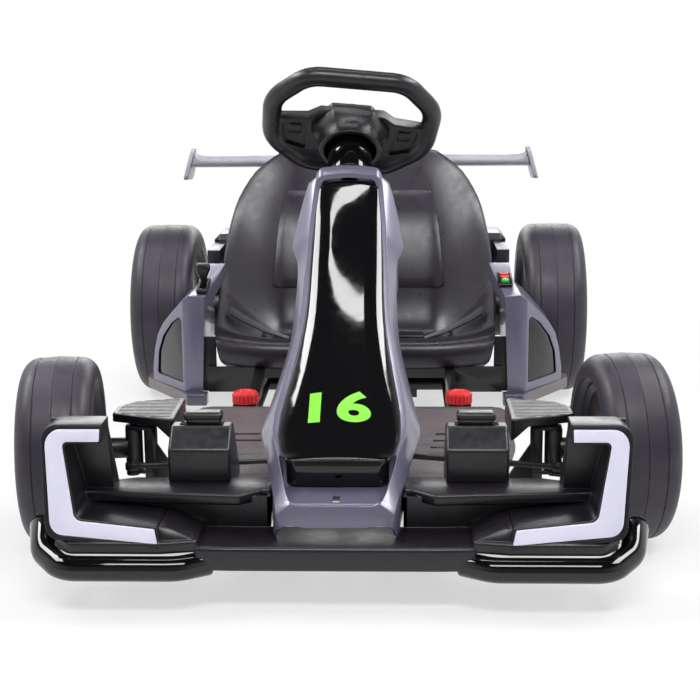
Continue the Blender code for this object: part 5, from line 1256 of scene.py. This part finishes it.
class KART_OT_steering(bpy.types.Operator):
    """Steering wheel with its recessed spokes, six-sided hub cover, pad and gloss collar"""
    bl_idname = "kart.steering"
    bl_label = "Steering wheel"

    def execute(self, context):
        parked = column_matrix(COLUMN_LENGTH, PARKED_HANDWHEEL)
        wide, high = GRIP_HALF_WIDTH, GRIP_HALF_HEIGHT
        corners = [(wide * 0.60, high, 0.048), (wide, high * 0.45, 0.056),
                   (wide * 0.98, -high * 0.45, 0.060), (wide * 0.52, -high, 0.050)]
        path = [(x, y, 0.0) for x, y in rounded(mirrored(corners), 9)]
        grip = tube(path, GRIP_RADIUS, 7, closed=True)
        screws = [rod((x, y, -0.020), (x, y, -0.0122), 0.0021, 12)
                  for x, y in ((0.0, -high + 0.003), (0.0, high - 0.003), (0.088, 0.066), (-0.088, 0.066),
                               (0.111, 0.0), (-0.111, 0.0), (0.094, -0.058), (-0.094, -0.058))]
        carved(grip, *screws)
        half = [(0.050, -high), (0.078, -0.084), (0.104, -0.058), (wide, -0.034), (wide, 0.006),
                (0.064, 0.012), (0.046, 0.026)]
        spokes = flat_prism(mirrored(half), -0.008, 0.008)
        softened(0.0016, 3)
        cheeks = []
        for side in (-1, 1):
            outline = rounded([(side * x, y, 0.004) for x, y in
                               ((0.062, -0.058), (0.094, -0.046), (0.101, -0.002), (0.068, 0.003))], 4)
            cheeks.append(prism([(x, y, -0.020) for x, y in outline], (0, 0, 0.0165)))
        carved(spokes, *cheeks)
        pads = [block((x, -0.026, -0.0058), (x + 0.018, -0.006, -0.0030), 0.0008) for x in (-0.090, 0.072)]
        bore = rod((0, 0, -0.02), (0, 0, 0.004), SHAFT_BORE, 32)
        carved(spokes, bore)
        wheel = place(joined(grip, spokes, *pads), parked)
        dress(wheel, "steering_grip", "steering", "moulded_black", ["steering_wheel"])
        self.hub(parked)
        self.collar()
        return {"FINISHED"}

    def hub(self, parked):
        """The boss behind the wheel that narrows to a round skirt, and the pad in front."""
        top = HUB_TOP
        cover = skin([hex_ring(wide, high, top - depth, roundness)
                      for wide, high, depth, roundness in HUB_SECTIONS])
        pocket = rod((0, 0, top - 0.055), (0, 0, top - 0.012), 0.0385, 48)
        bore = rod((0, 0, top - 0.02), (0, 0, top + 0.01), SHAFT_BORE, 32)
        carved(cover, pocket, bore)
        softened(0.0010, 2, 38)
        place(cover, parked)
        dress(cover, "hub_shell", "steering", "moulded_black", ["hub_cover"], 34)
        half = [(0.030, 0.020, 0.008), (0.046, -0.004, 0.010), (0.030, -0.034, 0.008)]
        pad = prism([(x, y, 0.0083) for x, y in rounded(mirrored(half), 6)], (0, 0, 0.0140))
        softened(0.0045, 5, 60)
        ring = lathe([(0.0150, 0, 0.0220), (0.0165, 0, 0.0229), (0.0180, 0, 0.0220)], 48)
        place(joined(pad, ring), parked)
        dress(pad, "hub_cushion", "steering", "moulded_black", ["hub_pad"])

    def collar(self):
        """The gloss collar between the fairing and the wheel's skirt."""
        low, top = COLUMN_LENGTH - 0.1021, COLUMN_LENGTH - 0.0406
        foot = COLUMN_LENGTH - 0.1713
        profile = [(0.0106, 0, top), (0.0265, 0, top), (0.0290, 0, top - 0.0008), (0.0309, 0, top - 0.0030),
                   (COLLAR_RADIUS, 0, top - 0.0060), (COLLAR_RADIUS, 0, low + 0.0010), (0.0305, 0, low),
                   (0.0125, 0, low), (0.0125, 0, foot), (0.0106, 0, foot)]
        collar = lathe(profile, 56, closed=True)
        place(collar, column_matrix(0.0))
        dress(collar, "column_sleeve", "front_section", "gloss_black", ["column_collar"], 35)


# Rear half: seat trim, side pods, controls, cover and wing, measured from the rear axle

class KART_OT_seat_trim(bpy.types.Operator):
    """Raised panel of the backrest, lap belt halves and buckle"""
    bl_idname = "kart.seat_trim"
    bl_label = "Seat trim"

    def execute(self, context):
        panel = skin([seat_row(station, BACKREST_COLUMNS)[BACKREST_MIDDLE]
                      for station in eased(SEAT_STATIONS[BACKREST_STATIONS], 4)], closed=False)
        modify("SOLIDIFY", thickness=BACKREST_THICKNESS, offset=0.0)
        outline = rounded([(-0.163, 0.196, 0.028), (0.163, 0.196, 0.028), (0.150, 0.357, 0.014),
                           (-0.150, 0.357, 0.014)], 8)
        frame_shape = prism([(x, -0.20, z) for x, z in outline], (0, 0.40, 0))
        carved(panel, frame_shape, operation="INTERSECT")
        softened(0.0009, 2, 50)
        place(panel, REAR)
        dress(panel, "backrest_panel", "rear_chassis", "seat_black")
        strap = refined("lap_belt", "lap_belt_right", "belt_black", 0.0006, 2)
        other = copied(strap, MIRROR_X)
        dress(other, "lap_belt_left", "rear_chassis", "belt_black")
        refined("belt_buckle", "buckle_case", "moulded_black", 0.0022, 3)
        return {"FINISHED"}


class KART_OT_pods(bpy.types.Operator):
    """Side pods with gloss windows and foot boards, the feet of their posts and the seat gussets"""
    bl_idname = "kart.pods"
    bl_label = "Side pods"

    def execute(self, context):
        for side_name, side in SIDES:
            refined(side_name + "_pod_shell", side_name + "_pod", "fairing_grey", 0.0022, 4)
            refined(side_name + "_pod_window", side_name + "_pod_pane", "gloss_black", 0.0008, 2)
            refined(side_name + "_pod_sill", side_name + "_foot_board", "sill_brown", 0.0015, 3)
            foot = flat_prism(rounded([(0.2355, -0.3188, 0.003), (0.2668, -0.3188, 0.004),
                                       (0.2772, -0.3005, 0.004), (0.2772, -0.2960, 0.0),
                                       (0.2355, -0.2960, 0.0)], 4), 0.0490, 0.0672)
            softened(0.0016, 3)
            place(foot, sided(REAR, side))
            dress(foot, side_name + "_post_foot", "rear_chassis", "fairing_dark")
            gusset = block((0.2215, -0.2920, 0.0672), (0.2432, -0.2880, 0.1560), 0.0008)
            place(gusset, sided(REAR, side))
            dress(gusset, side_name + "_seat_gusset", "rear_chassis", "frame_steel")
        return {"FINISHED"}


class KART_OT_controls(bpy.types.Operator):
    """Drive lever in its gate, switch panel, button and rockers"""
    bl_idname = "kart.controls"
    bl_label = "Controls"

    def execute(self, context):
        refined("lever_gate", "lever_gate_plate", "moulded_black", 0.0009, 3)
        refined("drive_lever", "lever_grip", "moulded_black", 0.0012, 3)
        refined("control_panel", "switch_panel", "gloss_black", 0.0008, 3)
        refined("power_button", "start_button", "button_green", 0.0010, 3)
        refined("speed_rocker", "speed_switch", "knob_red", 0.0006, 3)
        refined("direction_rocker", "direction_switch", "knob_red", 0.0006, 3)
        return {"FINISHED"}


# Clamp knobs: each rib is drawn with a few points, and its wave is cut off at the valley

KNOB_RIBS = 22
RIB_POINTS = 6
KNOB_RADIUS = 0.0190
KNOB_RIB = 0.0010
VALLEY = -0.55
KNOB_GRIP_HEIGHT = 0.0130
KNOB_X = 0.160
KNOB_Y = -0.435
KNOB_Z = 0.0860


class KART_OT_knobs(bpy.types.Operator):
    """Ribbed red clamp knobs with a dished crown"""
    bl_idname = "kart.knobs"
    bl_label = "Clamp knobs"

    def execute(self, context):
        points = KNOB_RIBS * RIB_POINTS
        for side_name, side in SIDES:
            outline = []
            for i in range(points):
                radius = KNOB_RADIUS + KNOB_RIB * max(VALLEY, math.cos(math.tau * i / RIB_POINTS))
                angle = math.tau * i / points
                outline.append((radius * math.cos(angle), radius * math.sin(angle)))
            grip = flat_prism(outline, 0.0, KNOB_GRIP_HEIGHT)
            crown = lathe([(0.0, 0, 0.0), (0.0182, 0, 0.0), (0.0182, 0, 0.0140), (0.0172, 0, 0.0158),
                           (0.0150, 0, 0.0168), (0.0110, 0, 0.0170), (0.0100, 0, 0.0156), (0.0, 0, 0.0150)],
                          56)
            stud = rod((0, 0, -0.0055), (0, 0, 0.004), 0.0040, 20)
            spot = Matrix.Translation((KNOB_X * side, KNOB_Y, KNOB_Z))
            place(joined(grip, crown, stud), REAR @ spot)
            dress(grip, side_name + "_knob_cap", side_name + "_knob", "knob_red",
                  [side_name + "_clamp_knob"], 35)
        return {"FINISHED"}


# Wing: half-widths of the blade's sections and how far each one flares up to the end plate. The
# blade's ends lean like the end plates, about the height of the lean's centre.

WING_FLARE = ((0.0, 0.0030), (0.10, 0.0024), (0.20, 0.0010), (0.270, 0.0), (0.292, 0.0014),
              (0.300, 0.0050), (0.3055, 0.0125))
WING_HALF_WIDTH = 0.31
WING_FRONT_Y = 0.089
WING_CHORD = 0.082
WING_THICKNESS = 0.020
WING_FULLNESS = 1.3
WING_SKIN = 0.0012
WING_HEIGHT = 0.401
WING_RISE = 0.004
WING_POINTS = 28
LEAN_CENTRE = 0.405
END_PLATE_TOP = 0.428
END_PLATE_X = 0.307
END_PLATE_LEAN = 0.26


class KART_OT_wing(bpy.types.Operator):
    """Rear wing: a hollow-backed blade that flares into two leaning end plates"""
    bl_idname = "kart.wing"
    bl_label = "Rear wing"

    def execute(self, context):
        blade = skin([self.section(-x, flare) for x, flare in reversed(WING_FLARE)]
                     + [self.section(x, flare) for x, flare in WING_FLARE[1:]])
        place(blade, REAR)
        dress(blade, "rear_wing", "rear_chassis", "wing_grey", ["wing_blade"], 50)
        outline = rounded([(0.085, 0.370, 0.008), (0.170, 0.363, 0.012), (0.173, 0.420, 0.010),
                           (0.100, 0.428, 0.012)], 6)
        for side_name, side in SIDES:
            plate = skin([[(self.lean(z) + shift, y, z) for y, z in outline] for shift in (-0.0060, 0.0025)])
            softened(0.0022, 3, 50)
            place(plate, sided(REAR, side))
            dress(plate, side_name + "_wing_fin", "rear_chassis", "wing_grey", [side_name + "_endplate"])
        return {"FINISHED"}

    def lean(self, z):
        """How far out the end plate stands at a height."""
        return END_PLATE_X + (END_PLATE_TOP - z) * END_PLATE_LEAN

    def section(self, x, flare):
        """The blade's section at a place across; the flare lifts its upper side to the end plate."""
        points = []
        for i in range(WING_POINTS):
            angle = math.tau * i / WING_POINTS
            share = (1 - math.cos(angle)) / 2
            closed = i in (0, WING_POINTS // 2)
            bulge = WING_THICKNESS * share ** 0.5 * (1 - share) * WING_FULLNESS
            thick = 0 if closed else bulge + WING_SKIN
            lift = thick + flare * (1 - 0.5 * share) if math.sin(angle) > 0 else -thick
            z = WING_HEIGHT + WING_RISE * share + lift
            lean = (LEAN_CENTRE - z) * END_PLATE_LEAN * x / WING_HALF_WIDTH
            points.append((x + lean, WING_FRONT_Y + WING_CHORD * share, z))
        return points


# Grille in the rear cover

SLATS = 5
SLAT_PITCH = 0.0085


class KART_OT_chassis(bpy.types.Operator):
    """Floor plate, frames, linkage, motors, axle, battery and rear cover with softened edges"""
    bl_idname = "kart.chassis"
    bl_label = "Chassis"

    def execute(self, context):
        refined("floor_plate", "foot_plate", "floor_grey", 0)
        for node, name in (("front_frame", "front_weldment"), ("rear_frame", "rear_weldment"),
                           ("steering_shaft", "steering_column")):
            refined(node, name, "frame_steel", 0.0005, 1, 50)
        for side_name, _ in SIDES:
            refined(side_name + "_knuckle", side_name + "_stub_axle", "frame_steel", 0.0005, 1, 50)
            refined(side_name + "_tie_rod", side_name + "_track_rod", "frame_steel", 0.0004, 1, 50)
            refined(side_name + "_motor", side_name + "_drive_motor", "moulded_black", 0.0015, 3, 50)
        refined("rear_axle", "drive_axle", "bright_steel", 0.0006, 2, 50)
        refined("battery", "battery_case", "moulded_black", 0.0015, 3)
        refined("rear_cover", "engine_cover", "cover_navy", 0.0015, 3)
        slat = block((-0.085, 0.1235, 0.2290), (0.085, 0.1290, 0.2335), 0.0014, 3)
        slats = [slat] + [copied(slat, Matrix.Translation((0, 0, SLAT_PITCH * i))) for i in range(1, SLATS)]
        posts = [block((x - 0.003, 0.1235, 0.2270), (x + 0.003, 0.1278, 0.2690), 0.0010, 2)
                 for x in (-0.084, 0.0, 0.084)]
        place(joined(*slats, *posts), REAR)
        dress(slat, "cover_grille", "rear_chassis", "moulded_black")
        refined("wing_bracket", "wing_stay", "cover_navy", 0.0012, 3)
        return {"FINISHED"}


PIECES = [KART_OT_tyres, KART_OT_rims, KART_OT_seat, KART_OT_seat_trim, KART_OT_nose, KART_OT_nose_panel,
          KART_OT_bumper, KART_OT_guards, KART_OT_arm_covers, KART_OT_pedals, KART_OT_steering,
          KART_OT_pods, KART_OT_controls, KART_OT_knobs, KART_OT_wing, KART_OT_chassis]
CLASSES = [KartColours, KartSizes, KART_OT_cad_finishes, *PIECES, KART_OT_stage]


class KART_PT_panel(bpy.types.Panel):
    """The kart's sizes, colours and pieces"""
    bl_idname = "KART_PT_panel"
    bl_label = "Go-kart"
    bl_space_type = "VIEW_3D"
    bl_region_type = "UI"
    bl_category = "Go-kart"

    def draw(self, context):
        layout = self.layout
        for group in (context.scene.kart_sizes, context.scene.kart_colours):
            column = layout.column(align=True)
            for key in group.__annotations__:
                column.prop(group, key)
        for piece in (KART_OT_cad_finishes, *PIECES, KART_OT_stage):
            layout.operator(piece.bl_idname)


def register():
    """Add the classes and the two groups of properties."""
    for kind in (*CLASSES, KART_PT_panel):
        bpy.utils.register_class(kind)
    bpy.types.Scene.kart_colours = PointerProperty(type=KartColours)
    bpy.types.Scene.kart_sizes = PointerProperty(type=KartSizes)


def unregister():
    """Take the properties and the classes out again."""
    del bpy.types.Scene.kart_sizes
    del bpy.types.Scene.kart_colours
    for kind in (KART_PT_panel, *reversed(CLASSES)):
        bpy.utils.unregister_class(kind)


def main():
    """Build every piece through its operator."""
    register()
    for piece in (KART_OT_cad_finishes, *PIECES, KART_OT_stage):
        family, name = piece.bl_idname.split(".")
        getattr(getattr(bpy.ops, family), name)()


if __name__ == "__main__":
    main()
